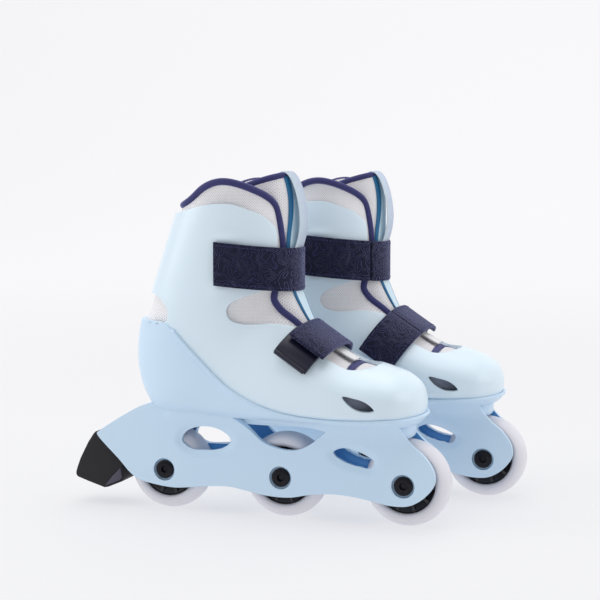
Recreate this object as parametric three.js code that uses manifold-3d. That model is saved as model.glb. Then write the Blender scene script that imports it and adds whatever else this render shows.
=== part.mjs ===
// A pair of children's three-wheel inline skates, standing side by side.
// Millimetres. +X points to the toes, +Y to the wearer's left, +Z up.
// The origin is on the ground, in the middle of the box around the pair.
// Each skate is drawn in its own frame, with the ground under the middle axle as its zero.
// The right skate is the one that is drawn, with its outer side facing -Y, and the left one mirrors it,
// except that only the right skate carries a heel brake and the tail behind the boot that holds it.
import * as THREE from 'three';
import { mergeVertices } from 'three/addons/utils/BufferGeometryUtils.js';
import Module from 'manifold-3d';

const wasm = await Module();
wasm.setup();

// Driving dimensions.
const WHEEL_RADIUS = 30;
const TYRE_HALF_WIDTH = 11.5;
const AXLE_SPACING = 88.2;
const PAIR_SPACING = 106.7; // between the mid planes of the two skates
const LEFT_LEAD = 34.3; // how far the left skate stands ahead of the right one
const BRAKE_BACK = -160;
const GAP = 0.3; // clearance between pieces that touch
const FAR = 300; // reach of a cutting block, past everything

// Boot walls, as depths below the outer surface of the boot.
const CUP_DEPTH = 2.8; // the heel cup and sole band of the chassis
const UPPER_DEPTH = 3.2; // the shell above the seam
const LOWER_DEPTH = 5.1; // the inner face of the shell inside the heel cup
const SEAM_OVERLAP = 6; // how far the shell's thick band rises above the seam
const LINER_OUTER = 5.6;
const LINER_INNER = 9.6;
const SOLE_TOP = 72; // the chassis carries the shell here
const SHELL_FLOOR = 75.5;
const LINER_FLOOR = 79;
const INSOLE_TOP = 82.5;
const SIZE_TRAVEL = 13; // how far the toe of the liner slides to change the size

// Frame rails.
const RAIL_INNER = 13;
const RAIL_OUTER = 17;
const SLOT_TOP = 66; // underside of the sole between the rails
const SLOT_FRONT = 89;
const TOE_SLOT_TOP = 62; // lower, where the front wall stands
const TOE_SLOT_BACK = 80;
const RECESS_RADIUS = 8.2; // the round pocket for a bolt head or a nut
const RECESS_FLOOR = 14.4;
const CUT_OVERLAP = 1; // how far a cutter passes the face that it opens

// Wheels and axles.
const HUB_RADIUS = 20.4;
const HUB_HALF_WIDTH = 12;
const HUB_RIM_HALF = 8.6;
const HUB_WEB_HALF = 6.5;
const HUB_WEB_RADIUS = 14.4;
const BEARING_RADIUS = 10.9;
const SPACER_RADIUS = 6.6; // the sleeve between the two bearings of a wheel
const BEARING_BORE = 4.3;
const BEARING_OUTER_FACE = 12.2;
const BEARING_INNER_FACE = 5.3;
const HUB_SEAT = BEARING_RADIUS + GAP;
const HUB_BOSS_RADIUS = 13.8;
const HUB_BORE = 7.4;
const AXLE_RADIUS = 3.9;
const BOLT_HEAD_RADIUS = 6.7;
const BOLT_HEAD_EDGE = 0.7; // the bevel around a bolt head
const BOLT_HEAD_TOP = 16.8;
const BOLT_HEAD_SEAT = 14.7;
const AXLE_SPLIT = 9.85; // where the bolt's shank ends inside the nut's sleeve

// Openings of the boot.
const THROAT_HALF = 20.5; // half the width of the front slit of the shell
const THROAT_FRONT = 52; // where the slit starts to close over the toes
const THROAT_BACK = -40; // the slits cut nothing behind or below these
const THROAT_LOW = 100;
const LINER_SLIT_HALF = 15;
const LINER_SLIT_FRONT = 2;
const TONGUE_HALF = 14.4;

// How finely curves are divided.
const RING_POINTS = 18;
const SEAM_PIECES = 15;
const HOLE_SIDES = 11;
const BAR_SIDES = 12;
const TYRE_SIDES = 20;
const BOLT_SIDES = 10;
const STRAP_PIECES = 9;
const ANCHOR_PIECES = 5;
const PILLAR_SIDES = 32;

// Colours of the materials.
const ICE_BLUE = { color: 0xcfe4f4, roughness: 0.35, metalness: 0 };
const WHITE_RUBBER = { color: 0xecebf0, roughness: 0.4, metalness: 0 };
const BLACK_PLASTIC = { color: 0x17171c, roughness: 0.4, metalness: 0 };
const BLACK_RUBBER = { color: 0x232227, roughness: 0.6, metalness: 0 };
const BLACK_STEEL = { color: 0x101014, roughness: 0.35, metalness: 0.8 };
const STEEL = { color: 0xb8bac0, roughness: 0.25, metalness: 1 };
const NAVY_WEB = { color: 0x1f2044, roughness: 0.8, metalness: 0 };
const WHITE_MESH = { color: 0xe2dee2, roughness: 0.9, metalness: 0 };
const PALE_RIBBON = { color: 0xdfeefa, roughness: 0.7, metalness: 0 };
const WHITE_TAPE = { color: 0xf2f1ef, roughness: 0.5, metalness: 0 };
const GREY_FOAM = { color: 0x8d90a0, roughness: 0.9, metalness: 0 };

// A closed triangle soup becomes a solid, without the slivers that merging leaves at poles.
function solidOf(geometry) {
  const bare = geometry.clone();
  for (const name of Object.keys(bare.attributes)) {
    if (name !== 'position') bare.deleteAttribute(name);
  }
  const merged = mergeVertices(bare, 1e-4);
  const index = merged.index.array;
  const kept = [];
  for (let i = 0; i < index.length; i += 3) {
    const [a, b, c] = [index[i], index[i + 1], index[i + 2]];
    if (a !== b && b !== c && c !== a) kept.push(a, b, c);
  }
  const vertices = new Float32Array(merged.attributes.position.array);
  const faces = new Uint32Array(kept);
  const solid = new wasm.Manifold(new wasm.Mesh({ numProp: 3, vertProperties: vertices, triVerts: faces }));
  if (solid.volume() > 0) return solid;
  for (let i = 0; i < faces.length; i += 3) {
    [faces[i], faces[i + 1]] = [faces[i + 1], faces[i]];
  }
  return new wasm.Manifold(new wasm.Mesh({ numProp: 3, vertProperties: vertices, triVerts: faces }));
}

function geometryOf(solid) {
  const mesh = solid.getMesh();
  const geometry = new THREE.BufferGeometry();
  geometry.setAttribute('position', new THREE.BufferAttribute(new Float32Array(mesh.vertProperties), 3));
  geometry.setIndex(new THREE.BufferAttribute(new Uint32Array(mesh.triVerts), 1));
  return geometry;
}

function join(solids) {
  return solids.reduce((whole, piece) => whole.add(piece));
}

function block(xMin, xMax, yMin, yMax, zMin, zMax) {
  const box = new THREE.BoxGeometry(xMax - xMin, yMax - yMin, zMax - zMin);
  box.translate((xMin + xMax) / 2, (yMin + yMax) / 2, (zMin + zMax) / 2);
  return solidOf(box);
}

// Rings of equal length, joined into one closed skin with a flat cap at each end.
function loft(rings) {
  const count = rings[0].length;
  const points = rings.flat();
  const faces = [];
  for (let r = 0; r + 1 < rings.length; r += 1) {
    for (let k = 0; k < count; k += 1) {
      const next = (k + 1) % count;
      const [a, b] = [r * count + k, r * count + next];
      faces.push(a, b, b + count, a, b + count, a + count);
    }
  }
  const last = (rings.length - 1) * count;
  for (let k = 1; k + 1 < count; k += 1) {
    faces.push(0, k + 1, k);
    faces.push(last, last + k, last + k + 1);
  }
  const geometry = new THREE.BufferGeometry();
  geometry.setFromPoints(points);
  geometry.setIndex(faces);
  return geometry;
}

function superellipse(angle, power) {
  const [c, s] = [Math.cos(angle), Math.sin(angle)];
  const round = (value) => Math.sign(value) * Math.abs(value) ** (2 / power);
  return [round(c), round(s)];
}

// An outline in the XZ plane, drawn out along Y.
function sideShape(points) {
  return new THREE.Shape(points.map(([x, z]) => new THREE.Vector2(x, z)));
}

function sidePlate(points, yMin, yMax) {
  const plate = new THREE.ExtrudeGeometry(sideShape(points), { depth: yMax - yMin, bevelEnabled: false });
  plate.rotateX(Math.PI / 2);
  plate.translate(0, yMax, 0);
  return solidOf(plate);
}

function bothSides(points, yMin, yMax) {
  return sidePlate(points, yMin, yMax).add(sidePlate(points, -yMax, -yMin));
}

// A smooth closed outline through a few points.
function smoothLoop(points, pieces) {
  const knots = points.map(([x, z]) => new THREE.Vector3(x, 0, z));
  const curve = new THREE.CatmullRomCurve3(knots, true, 'centripetal');
  return curve.getPoints(pieces).slice(0, -1).map((point) => [point.x, point.z]);
}

function smoothLine(points, pieces) {
  const knots = points.map(([x, z]) => new THREE.Vector3(x, 0, z));
  const curve = new THREE.CatmullRomCurve3(knots, false, 'centripetal');
  return curve.getPoints(pieces).map((point) => [point.x, point.z]);
}

// The boot: stations that fan from the toe cap over the heel to the top of the cuff.
// low is the sole or heel end [x, z], high the instep end, half the half width,
// square how boxy the low end is, and ahead how much of a wall's depth the toe cap loses in X.
const BOOT_STATIONS = [
  { low: [99.5, 78], high: [99.5, 92], half: 10, square: 2.2, ahead: 1 },
  { low: [96.5, 73], high: [96.5, 99], half: 20, square: 2.4, ahead: 0.9 },
  { low: [90, 70.5], high: [89, 105], half: 30, square: 2.8, ahead: 0.6 },
  { low: [76, 70], high: [74, 110.5], half: 38.5, square: 3.2, ahead: 0.3 },
  { low: [52, 70], high: [50, 116.5], half: 43, square: 3.4, ahead: 0 },
  { low: [20, 70], high: [31, 129], half: 43, square: 3.4, ahead: 0 },
  { low: [-20, 70], high: [22, 140], half: 41, square: 3.2, ahead: 0 },
  { low: [-62, 70.5], high: [15, 149], half: 38.5, square: 2.8, ahead: 0 },
  { low: [-98, 75], high: [11, 157], half: 37.5, square: 2.5, ahead: 0 },
  { low: [-110, 98], high: [9.5, 165], half: 37.5, square: 2.3, ahead: 0 },
  { low: [-110.5, 128], high: [9, 172], half: 38, square: 2.2, ahead: 0 },
  { low: [-101.5, 157], high: [9, 182], half: 38.3, square: 2.2, ahead: 0 },
  { low: [-91.5, 187], high: [8, 196], half: 38.5, square: 2.2, ahead: 0 },
  { low: [-83, 211], high: [5, 212], half: 38.5, square: 2.2, ahead: 0 },
  { low: [-76, 228], high: [1, 228], half: 38, square: 2.2, ahead: 0 },
];
const BOOT_POWER = 2; // how round the high end is
const THINNEST = 1.5;

// The station, drawn at a depth below the outer surface.
function inset(station, depth) {
  const low = new THREE.Vector3(station.low[0], 0, station.low[1]);
  const high = new THREE.Vector3(station.high[0], 0, station.high[1]);
  const length = low.distanceTo(high);
  const kept = Math.max(length - 2 * depth, THINNEST);
  const middle = low.clone().add(high).multiplyScalar(0.5);
  middle.x -= station.ahead * depth;
  const along = low.clone().sub(high).normalize();
  return {
    middle,
    along: along.multiplyScalar(kept / 2),
    half: Math.max(station.half - depth, THINNEST),
    square: station.square,
  };
}

function bootRing(station, depth, shift = 0) {
  const { middle, along, half, square } = inset(station, depth);
  const ring = [];
  for (let k = 0; k < RING_POINTS; k += 1) {
    const angle = (2 * Math.PI * k) / RING_POINTS;
    const [u, v] = superellipse(angle, Math.cos(angle) > 0 ? square : BOOT_POWER);
    ring.push(new THREE.Vector3(middle.x + along.x * u + shift, half * v, middle.z + along.z * u));
  }
  return ring;
}

function bootForm(depth) {
  return solidOf(loft(BOOT_STATIONS.map((station) => bootRing(station, depth))));
}

// The seam where the shell meets the heel cup and the sole band, seen from the side, heel to toe.
const SEAM = smoothLine([[-130, 138], [-80, 138], [-70, 130.5], [-54.5, 115], [-43, 104], [-31.5, 94.5],
  [-20, 88], [-3, 80.3], [16, 76.8], [42, 75.5], [79, 76.5], [130, 80]], SEAM_PIECES);

function belowSeam(rise) {
  return sidePlate([...SEAM.map(([x, z]) => [x, z + rise]), [130, 0], [-130, 0]], -FAR, FAR);
}

// The cuff's top edge, from the back to the slit.
const CUFF_TOP = [[-FAR, 212], [-80, 214], [-62, 217], [-50, 220], [-36, 221.5], [-21, 219], [-8, 213],
  [0, 203.5], [FAR, 203.5]];

// The notch over each ankle, which opens into the front slit.
const ANKLE_NOTCH = [[40, 128], [15, 136], [4, 139], [-10, 139], [-22, 139], [-30, 141.5], [-33, 146.5],
  [-31.5, 152], [-25, 156.5], [-13, 160.5], [0, 164], [40, 170]];

// The window at the back of the heel, which wraps from one side to the other.
const HEEL_WINDOW = [[-FAR, 138.6], [-80, 137.5], [-77, 140], [-76.5, 145], [-78.5, 150], [-84, 155],
  [-91, 158], [-FAR, 157]];

// A vent in each side of the toe cap.
const TOE_VENT = [[51, 94], [59, 92.5], [66, 91], [71, 87.5], [73.5, 83.5], [64, 83.5], [57, 87]];

// A cutter for a slit that runs from the ankle towards the toe and has a round front.
function slit(half, straightEnd) {
  const outline = new THREE.Shape();
  outline.moveTo(THROAT_BACK, -half);
  outline.lineTo(straightEnd, -half);
  outline.absarc(straightEnd, 0, half, -Math.PI / 2, Math.PI / 2, false);
  outline.lineTo(THROAT_BACK, half);
  outline.closePath();
  const cutter = new THREE.ExtrudeGeometry(outline, { depth: FAR, bevelEnabled: false, curveSegments: 5 });
  cutter.translate(0, 0, THROAT_LOW);
  return solidOf(cutter);
}

function makeShell() {
  const lower = belowSeam(0);
  const aboveFloor = block(-FAR, FAR, -FAR, FAR, SHELL_FLOOR, FAR);
  const outer = bootForm(0).subtract(lower).add(bootForm(CUP_DEPTH + GAP));
  const roomy = bootForm(UPPER_DEPTH).subtract(belowSeam(SEAM_OVERLAP));
  const cavity = roomy.add(bootForm(LOWER_DEPTH)).intersect(aboveFloor);
  const cuts = [
    sidePlate([...CUFF_TOP, [FAR, FAR], [-FAR, FAR]], -FAR, FAR),
    sidePlate(ANKLE_NOTCH, -FAR, FAR),
    sidePlate(HEEL_WINDOW, -FAR, FAR),
    bothSides(TOE_VENT, TYRE_HALF_WIDTH, FAR),
    slit(THROAT_HALF, THROAT_FRONT),
    block(-FAR, FAR, -FAR, FAR, 0, SOLE_TOP + GAP),
  ];
  return cuts.reduce((rest, cut) => rest.subtract(cut), outer.subtract(cavity));
}

// The chassis: heel cup, sole, two rails, the tail that carries the brake.
const RAIL_EDGE = [[-99, 19.5], [-80, 17.5], [-57, 20], [-38, 21], [-22, 18.5], [-8, 16.5], [7, 16.5],
  [22, 19.5], [36, 21], [51, 20.5], [65, 18.5], [80, 16], [93, 17], [104, 24], [110, 33], [109.5, 41],
  [103, 51], [94.5, 58], [89, 64], [87, 70], [87, 74]];
const TAILED_END = [[-108, 74.5], [-123, 66], [-141, 54], [-123, 34.5], [-109, 22]];
const PLAIN_END = [[-104, 75], [-109.5, 66], [-112, 55], [-111, 42], [-107, 29]];
const REAR_HOLE = [[-75, 52], [-72, 58], [-64, 62], [-53, 63], [-43, 60], [-37, 54], [-43, 48.5], [-56, 46],
  [-68, 46.5]];
const FRONT_HOLE = [[38, 50], [44, 53.5], [52, 53], [61, 50], [67.5, 45.5], [65, 41], [56, 41.5], [44, 45]];
const ARCH_HOLE = [[-36, 71], [-22, 63.5], [-11, 56], [0, 53], [11, 53], [22, 58], [33, 65], [38, 69]];
const TAIL_DECK = [[-100, 76], [-108, 74.5], [-123, 66], [-141, 54], [-122.5, 33.5], [-120, 36],
  [-136, 53.5], [-122, 62.5], [-106, 71], [-100, 71]];

// The flare from the rails out to the sole, as level outlines: height, back, front, half width.
const FLARE_LEVELS = [
  { z: 72, back: -104, front: 92, half: 37 },
  { z: 68, back: -105, front: 91.5, half: 29 },
  { z: 64, back: -106, front: 92, half: 21 },
  { z: 60, back: -107, front: 92.5, half: RAIL_OUTER },
];
const FLARE_POWER = 3;

function flareRing({ z, back, front, half }) {
  const ring = [];
  for (let k = 0; k < RING_POINTS; k += 1) {
    const [u, v] = superellipse((2 * Math.PI * k) / RING_POINTS, FLARE_POWER);
    ring.push(new THREE.Vector3((front + back) / 2 + ((front - back) / 2) * u, half * v, z));
  }
  return ring;
}

// A round bar across the skate, on an axle.
function crossBar(x, radius, yMin, yMax) {
  const bar = new THREE.CylinderGeometry(radius, radius, yMax - yMin, BAR_SIDES);
  bar.translate(x, (yMin + yMax) / 2, WHEEL_RADIUS);
  return solidOf(bar);
}

const AXLES = { rear: -AXLE_SPACING, middle: 0, front: AXLE_SPACING };

function makeChassis(hasBrake) {
  const cup = bootForm(0).intersect(belowSeam(-GAP));
  const hollow = bootForm(CUP_DEPTH).intersect(block(-FAR, FAR, -FAR, FAR, SOLE_TOP, FAR));
  const flare = solidOf(loft(FLARE_LEVELS.map(flareRing)));
  const slot = block(-FAR, SLOT_FRONT, -RAIL_INNER, RAIL_INNER, 0, SLOT_TOP)
    .add(block(TOE_SLOT_BACK, FAR, -RAIL_INNER, RAIL_INNER, 0, TOE_SLOT_TOP));
  const outline = [...(hasBrake ? TAILED_END : PLAIN_END), ...RAIL_EDGE];
  const solids = [cup, bothSides(outline, RAIL_INNER, RAIL_OUTER)];
  if (hasBrake) solids.push(sidePlate(TAIL_DECK, -RAIL_OUTER, RAIL_OUTER));
  const openings = [
    bothSides(smoothLoop(REAR_HOLE, HOLE_SIDES), RAIL_INNER - CUT_OVERLAP, RAIL_OUTER + CUT_OVERLAP),
    bothSides(smoothLoop(FRONT_HOLE, HOLE_SIDES), RAIL_INNER - CUT_OVERLAP, RAIL_OUTER + CUT_OVERLAP),
    bothSides(ARCH_HOLE, RAIL_INNER - GAP, FAR),
  ];
  if (hasBrake) openings.push(brakeBore());
  for (const x of Object.values(AXLES)) {
    openings.push(crossBar(x, AXLE_RADIUS + GAP, -FAR, FAR));
    openings.push(crossBar(x, RECESS_RADIUS, RECESS_FLOOR, RAIL_OUTER + CUT_OVERLAP));
    openings.push(crossBar(x, RECESS_RADIUS, -RAIL_OUTER - CUT_OVERLAP, -RECESS_FLOOR));
  }
  const body = join(solids).subtract(hollow).add(flare.subtract(slot));
  return openings.reduce((rest, cut) => rest.subtract(cut), body);
}

// The brake: a rubber wedge behind the tail, held by one screw from behind.
const BRAKE_TOP = new THREE.Vector3(-141, 0, 54);
const BRAKE_FOOT = new THREE.Vector3(-122.5, 0, 33.5);
const BRAKE_HALF = 15;
const BRAKE_OUTLINE = [[-142.3, 54.4], [-145, 53], [-149.5, 46.5], [-156, 34], [BRAKE_BACK, 23.5],
  [-158.8, 19.5], [-137, 13], [-122, 18.5], [-121, 22], [-122.5, 32.5]];
const SCREW_SHANK_RADIUS = 2.1;
const SCREW_HEAD_RADIUS = 3.8;
const SCREW_HEAD_DEPTH = 10; // how far behind the tail plate the head seats
const SCREW_HEAD_HEIGHT = 3;
const SCREW_LENGTH = 16;
const BORE_START = -8; // in front of the tail plate
const BORE_END = 75; // behind the pad

// The screw's axis leaves the middle of the tail plate squarely, pointing back and down.
function brakeAxis() {
  const down = BRAKE_FOOT.clone().sub(BRAKE_TOP).normalize();
  const out = new THREE.Vector3(-Math.abs(down.z), 0, -Math.abs(down.x));
  const seat = BRAKE_TOP.clone().lerp(BRAKE_FOOT, 0.5);
  return { seat, out };
}

// A round bar on the screw's axis, from one distance behind the tail plate to another.
function brakeBar(radius, from, to) {
  const { seat, out } = brakeAxis();
  const bar = new THREE.CylinderGeometry(radius, radius, to - from, BAR_SIDES);
  bar.applyQuaternion(new THREE.Quaternion().setFromUnitVectors(new THREE.Vector3(0, 1, 0), out));
  bar.translate(...seat.clone().addScaledVector(out, (from + to) / 2).toArray());
  return solidOf(bar);
}

function brakeBore() {
  return brakeBar(SCREW_SHANK_RADIUS + GAP, BORE_START, -BORE_START);
}

function makeBrakePad() {
  const pad = sidePlate(BRAKE_OUTLINE, -BRAKE_HALF, BRAKE_HALF);
  const bore = brakeBar(SCREW_SHANK_RADIUS + GAP, BORE_START, BORE_END);
  const counterbore = brakeBar(SCREW_HEAD_RADIUS + GAP, SCREW_HEAD_DEPTH - GAP, BORE_END);
  return pad.subtract(bore).subtract(counterbore);
}

function makeBrakeScrew() {
  const headEnd = SCREW_HEAD_DEPTH + SCREW_HEAD_HEIGHT;
  const shank = brakeBar(SCREW_SHANK_RADIUS, SCREW_HEAD_DEPTH - SCREW_LENGTH, headEnd - CUT_OVERLAP);
  return shank.add(brakeBar(SCREW_HEAD_RADIUS, SCREW_HEAD_DEPTH, headEnd));
}

// The liner: a padded sock with a collar that stands above the cuff.
const COLLAR_STATIONS = [
  { low: [-70, 236], high: [0, 236], half: 40, square: 2.2, ahead: 0 },
  { low: [-66, 246], high: [-2, 246], half: 39, square: 2.2, ahead: 0 },
];
const COLLAR_TOP = [[-FAR, 222], [-76, 222], [-61, 225], [-54, 232], [-45, 237], [-35, 239], [-24, 237],
  [-16, 232], [-9, 224], [-5, 215], [-2.5, 205], [FAR, 205]];
const LINER_FRONT = 34; // the liner proper ends here and the sliding toe begins

function linerForm(depth) {
  const stations = [...BOOT_STATIONS, ...COLLAR_STATIONS];
  return solidOf(loft(stations.map((station) => bootRing(station, depth))));
}

function makeLiner() {
  const outer = linerForm(LINER_OUTER);
  const inner = linerForm(LINER_INNER).intersect(block(-FAR, FAR, -FAR, FAR, LINER_FLOOR, FAR));
  const cuts = [
    block(LINER_FRONT, FAR, -FAR, FAR, 0, FAR),
    block(-FAR, FAR, -FAR, FAR, 0, SHELL_FLOOR + GAP),
    sidePlate([...COLLAR_TOP, [FAR, FAR], [-FAR, FAR]], -FAR, FAR),
    slit(LINER_SLIT_HALF, LINER_SLIT_FRONT),
  ];
  return cuts.reduce((rest, cut) => rest.subtract(cut), outer.subtract(inner));
}

// The toe of the liner is the toe end of the boot form, drawn back by its travel,
// with a padded cover that fills the slit over the toes.
const TOE_COVER = [[35, 100], [35, 117.5], [50, 110], [57, 102], [54, 98]];
const TOE_COVER_HALF = 13.5;
const TOE_EASE = 1.6; // extra clearance that lets the toe slide
const TOE_STATIONS = 7; // how many stations of the boot the toe end takes

function makeLinerToe() {
  const toe = (depth) => {
    const stations = BOOT_STATIONS.slice(0, TOE_STATIONS);
    return solidOf(loft(stations.map((station) => bootRing(station, depth + TOE_EASE, -SIZE_TRAVEL))));
  };
  const inner = toe(LINER_INNER).intersect(block(-FAR, FAR, -FAR, FAR, LINER_FLOOR, FAR));
  const outer = toe(LINER_OUTER).intersect(block(LINER_FRONT + GAP, FAR, -FAR, FAR, SHELL_FLOOR + GAP, FAR));
  const cover = sidePlate(TOE_COVER, -TOE_COVER_HALF, TOE_COVER_HALF);
  return outer.add(cover).subtract(inner);
}

// The insole fills the floor of the liner, as a slice of the boot form a little smaller than it.
function makeInsole() {
  const slice = block(-FAR, LINER_FRONT - 2 * GAP, -FAR, FAR, LINER_FLOOR + GAP, INSOLE_TOP);
  return bootForm(LINER_INNER + GAP).intersect(slice);
}

// Straps. A strap is a band of even thickness along a path in a plane, with its width across the plane.
function band(path, thickness, half) {
  const outer = path.map((point) => point.clone());
  const inner = path.map((point, k) => {
    const before = path[Math.max(k - 1, 0)];
    const after = path[Math.min(k + 1, path.length - 1)];
    const way = after.clone().sub(before).normalize();
    return point.clone().add(new THREE.Vector2(-way.y, way.x).multiplyScalar(thickness));
  });
  const outline = new THREE.Shape([...outer, ...inner.reverse()]);
  const strip = new THREE.ExtrudeGeometry(outline, { depth: 2 * half, bevelEnabled: false });
  strip.translate(0, 0, -half);
  return strip;
}

// The cuff strap runs around the front of the cuff, on an ellipse outside it, and falls towards the front.
const CUFF_STRAP_Z = 181.1; // at the middle of the ellipse
const CUFF_STRAP_FALL = 0.1; // how much lower the strap gets per millimetre forward
const CUFF_STRAP_HALF = 15;
const STRAP_THICKNESS = 2.4;
const CUFF_CENTRE = -43.5;
const CUFF_LONG = 54.6;
const CUFF_WIDE = 42.2;
const CUFF_HINGE_ANGLE = 0.56;
const CUFF_FLAP_END = 1.5;
const CUFF_ANCHOR_END = 1.62;
const HINGE_SLOT = 0.02; // the gap in the band at the hinge, as an angle

function cuffPath(from, to, steps, depth = 0) {
  const path = [];
  for (let k = 0; k <= steps; k += 1) {
    const angle = from + ((to - from) * k) / steps;
    const [u, v] = superellipse(angle, BOOT_POWER);
    path.push(new THREE.Vector2(CUFF_CENTRE + (CUFF_LONG - depth) * u, (CUFF_WIDE - depth) * v));
  }
  return path;
}

// The tongue: a padded plate in the liner's slit, from the instep to above the collar.
const TONGUE_FRONT = [[18, 142.5], [12.5, 150], [8.4, 160], [7, 172], [6.8, 196], [7.6, 213], [7, 228],
  [4.8, 237]];
const TONGUE_CLEARANCE = 0.9; // behind the cuff strap
const TONGUE_BACK = [[-2, 243], [-4, 238], [-2, 225], [-1, 196], [0, 165], [5, 149], [12, 142]];

function makeTongue() {
  const plate = sidePlate([...TONGUE_FRONT, ...TONGUE_BACK], -TONGUE_HALF, TONGUE_HALF);
  const depth = STRAP_THICKNESS + TONGUE_CLEARANCE;
  const behindStrap = new THREE.Shape(cuffPath(0, 2 * Math.PI, PILLAR_SIDES, depth).slice(0, -1));
  const pillar = new THREE.ExtrudeGeometry(behindStrap, { depth: FAR, bevelEnabled: false });
  const strapBottom = CUFF_STRAP_Z - CUFF_STRAP_HALF - CUFF_STRAP_FALL * CUFF_LONG - CUT_OVERLAP;
  pillar.translate(0, 0, strapBottom);
  const instep = block(-FAR, FAR, -FAR, FAR, 0, strapBottom);
  return plate.intersect(solidOf(pillar).add(instep));
}

const PULL_HALF = 9;
const PULL_OUTLINE = [[8.2, 195], [10.4, 198], [12.6, 212], [12, 226], [9, 238], [5.6, 243.5], [1.5, 246.2],
  [0.6, 245], [4.7, 242], [7.8, 236.5], [10.5, 225.5], [11, 212], [9.2, 200], [7.8, 197]];

function cuffBand(from, to, steps) {
  const strip = band(cuffPath(from, to, steps), STRAP_THICKNESS, CUFF_STRAP_HALF);
  strip.translate(-CUFF_CENTRE, 0, 0);
  strip.applyMatrix4(new THREE.Matrix4().makeShear(0, -CUFF_STRAP_FALL, 0, 0, 0, 0));
  strip.translate(CUFF_CENTRE, 0, CUFF_STRAP_Z);
  return solidOf(strip);
}

// The forefoot strap crosses the instep on a slope. Its paths are in the plane square to its width:
// y across the skate and n up from the strap's ridge.
const FORE_RIDGE = new THREE.Vector3(31, 0, 133);
const FORE_ALONG = new THREE.Vector3(24, 0, -16).normalize();
const FORE_HALF = 14.4;
const FORE_FLAP = [[-39.5, -7], [-32, -3.4], [-22, -1.2], [-11, -0.2], [0, 0], [10, -0.5], [18, -2]];
const FORE_ANCHOR = [[18.6, -2.2], [25, -4.1], [31, -7], [37.6, -11.8], [42.8, -19], [45.9, -27],
  [46.4, -34]];
const HOOK_PATH = [[-44, -22], [-42.6, -18], [-37.2, -11.8], [-29, -6.5], [-24, -4.5]];
const HOOK_SHIFT = -3;

function slopedBand(points, half, shift = 0) {
  const path = points.map(([y, n]) => new THREE.Vector2(y, n));
  const strip = band(path, -STRAP_THICKNESS, half);
  const normal = new THREE.Vector3(-FORE_ALONG.z, 0, FORE_ALONG.x);
  const place = new THREE.Matrix4().makeBasis(new THREE.Vector3(0, 1, 0), normal, FORE_ALONG);
  place.setPosition(FORE_RIDGE.clone().addScaledVector(FORE_ALONG, shift));
  strip.applyMatrix4(place);
  return solidOf(strip);
}

// The size tape stands just above the toe of the liner and runs back under the forefoot strap,
// where it is level, so that it can slide forwards with the toe.
const TAPE_OUTLINE = [[34.6, 119], [42.3, 119], [57.5, 110.8], [58, 111.8], [42.6, 120.1], [34.6, 120.1]];
const TAPE_HALF = 7;

// Wheels. Each lathe profile is [radius, distance along the axle] and closes on itself.
const TYRE_HALF_PROFILE = [[HUB_RADIUS + GAP, 8.8], [25, TYRE_HALF_WIDTH], [28.8, 8], [WHEEL_RADIUS, 2.5]];
const HUB_HALF_PROFILE = [[HUB_SEAT, BEARING_INNER_FACE - GAP], [HUB_SEAT, HUB_HALF_WIDTH],
  [HUB_BOSS_RADIUS, HUB_HALF_WIDTH], [HUB_WEB_RADIUS, HUB_WEB_HALF], [HUB_RADIUS, HUB_RIM_HALF]];
const BEARING_HALF_PROFILE = [[SPACER_RADIUS, BEARING_INNER_FACE], [BEARING_RADIUS, BEARING_INNER_FACE],
  [BEARING_RADIUS, BEARING_OUTER_FACE], [BEARING_BORE, BEARING_OUTER_FACE]];
const HEAD_PROFILE = [[AXLE_RADIUS, BOLT_HEAD_SEAT], [BOLT_HEAD_RADIUS, BOLT_HEAD_SEAT],
  [BOLT_HEAD_RADIUS, BOLT_HEAD_TOP - BOLT_HEAD_EDGE], [BOLT_HEAD_RADIUS - BOLT_HEAD_EDGE, BOLT_HEAD_TOP],
  [0, BOLT_HEAD_TOP]];

// A half profile and its mirror image across the wheel's mid plane, as one outline.
function bothHalves(half) {
  return [...half, ...half.map(([r, y]) => [r, -y]).reverse()];
}

const TYRE_PROFILE = bothHalves(TYRE_HALF_PROFILE);
const HUB_PROFILE = [...bothHalves(HUB_HALF_PROFILE), [HUB_BORE, GAP - BEARING_INNER_FACE],
  [HUB_BORE, BEARING_INNER_FACE - GAP]];
const BEARING_PROFILE = bothHalves(BEARING_HALF_PROFILE);
const NUT_PROFILE = [[0, AXLE_SPLIT + GAP / 2], [AXLE_RADIUS, AXLE_SPLIT + GAP / 2], ...HEAD_PROFILE];
const BOLT_PROFILE = [[0, GAP / 2 - AXLE_SPLIT], [AXLE_RADIUS, GAP / 2 - AXLE_SPLIT], ...HEAD_PROFILE]
  .map(([r, y]) => [r, -y]);

function turned(profile, sides) {
  const closed = profile[0][0] === 0 ? profile : [...profile, profile[0]];
  return solidOf(new THREE.LatheGeometry(closed.map(([r, y]) => new THREE.Vector2(r, y)), sides));
}

function addMesh(parent, name, solid, look, x = 0, z = 0) {
  const mesh = new THREE.Mesh(geometryOf(solid), new THREE.MeshStandardMaterial(look));
  mesh.name = name;
  mesh.position.set(x, 0, z);
  parent.add(mesh);
}

function addWheel(skate, side, place, x) {
  const pieces = [
    ['tyre', turned(TYRE_PROFILE, TYRE_SIDES), WHITE_RUBBER],
    ['hub', turned(HUB_PROFILE, BAR_SIDES), BLACK_PLASTIC],
    ['bearings', turned(BEARING_PROFILE, BAR_SIDES), STEEL],
    ['axle_bolt', turned(BOLT_PROFILE, BOLT_SIDES), BLACK_STEEL],
    ['axle_nut', turned(NUT_PROFILE, BOLT_SIDES), BLACK_STEEL],
  ];
  for (const [piece, solid, look] of pieces) {
    addMesh(skate, `${side}_${place}_${piece}`, solid, look, x, WHEEL_RADIUS);
  }
}

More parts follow.
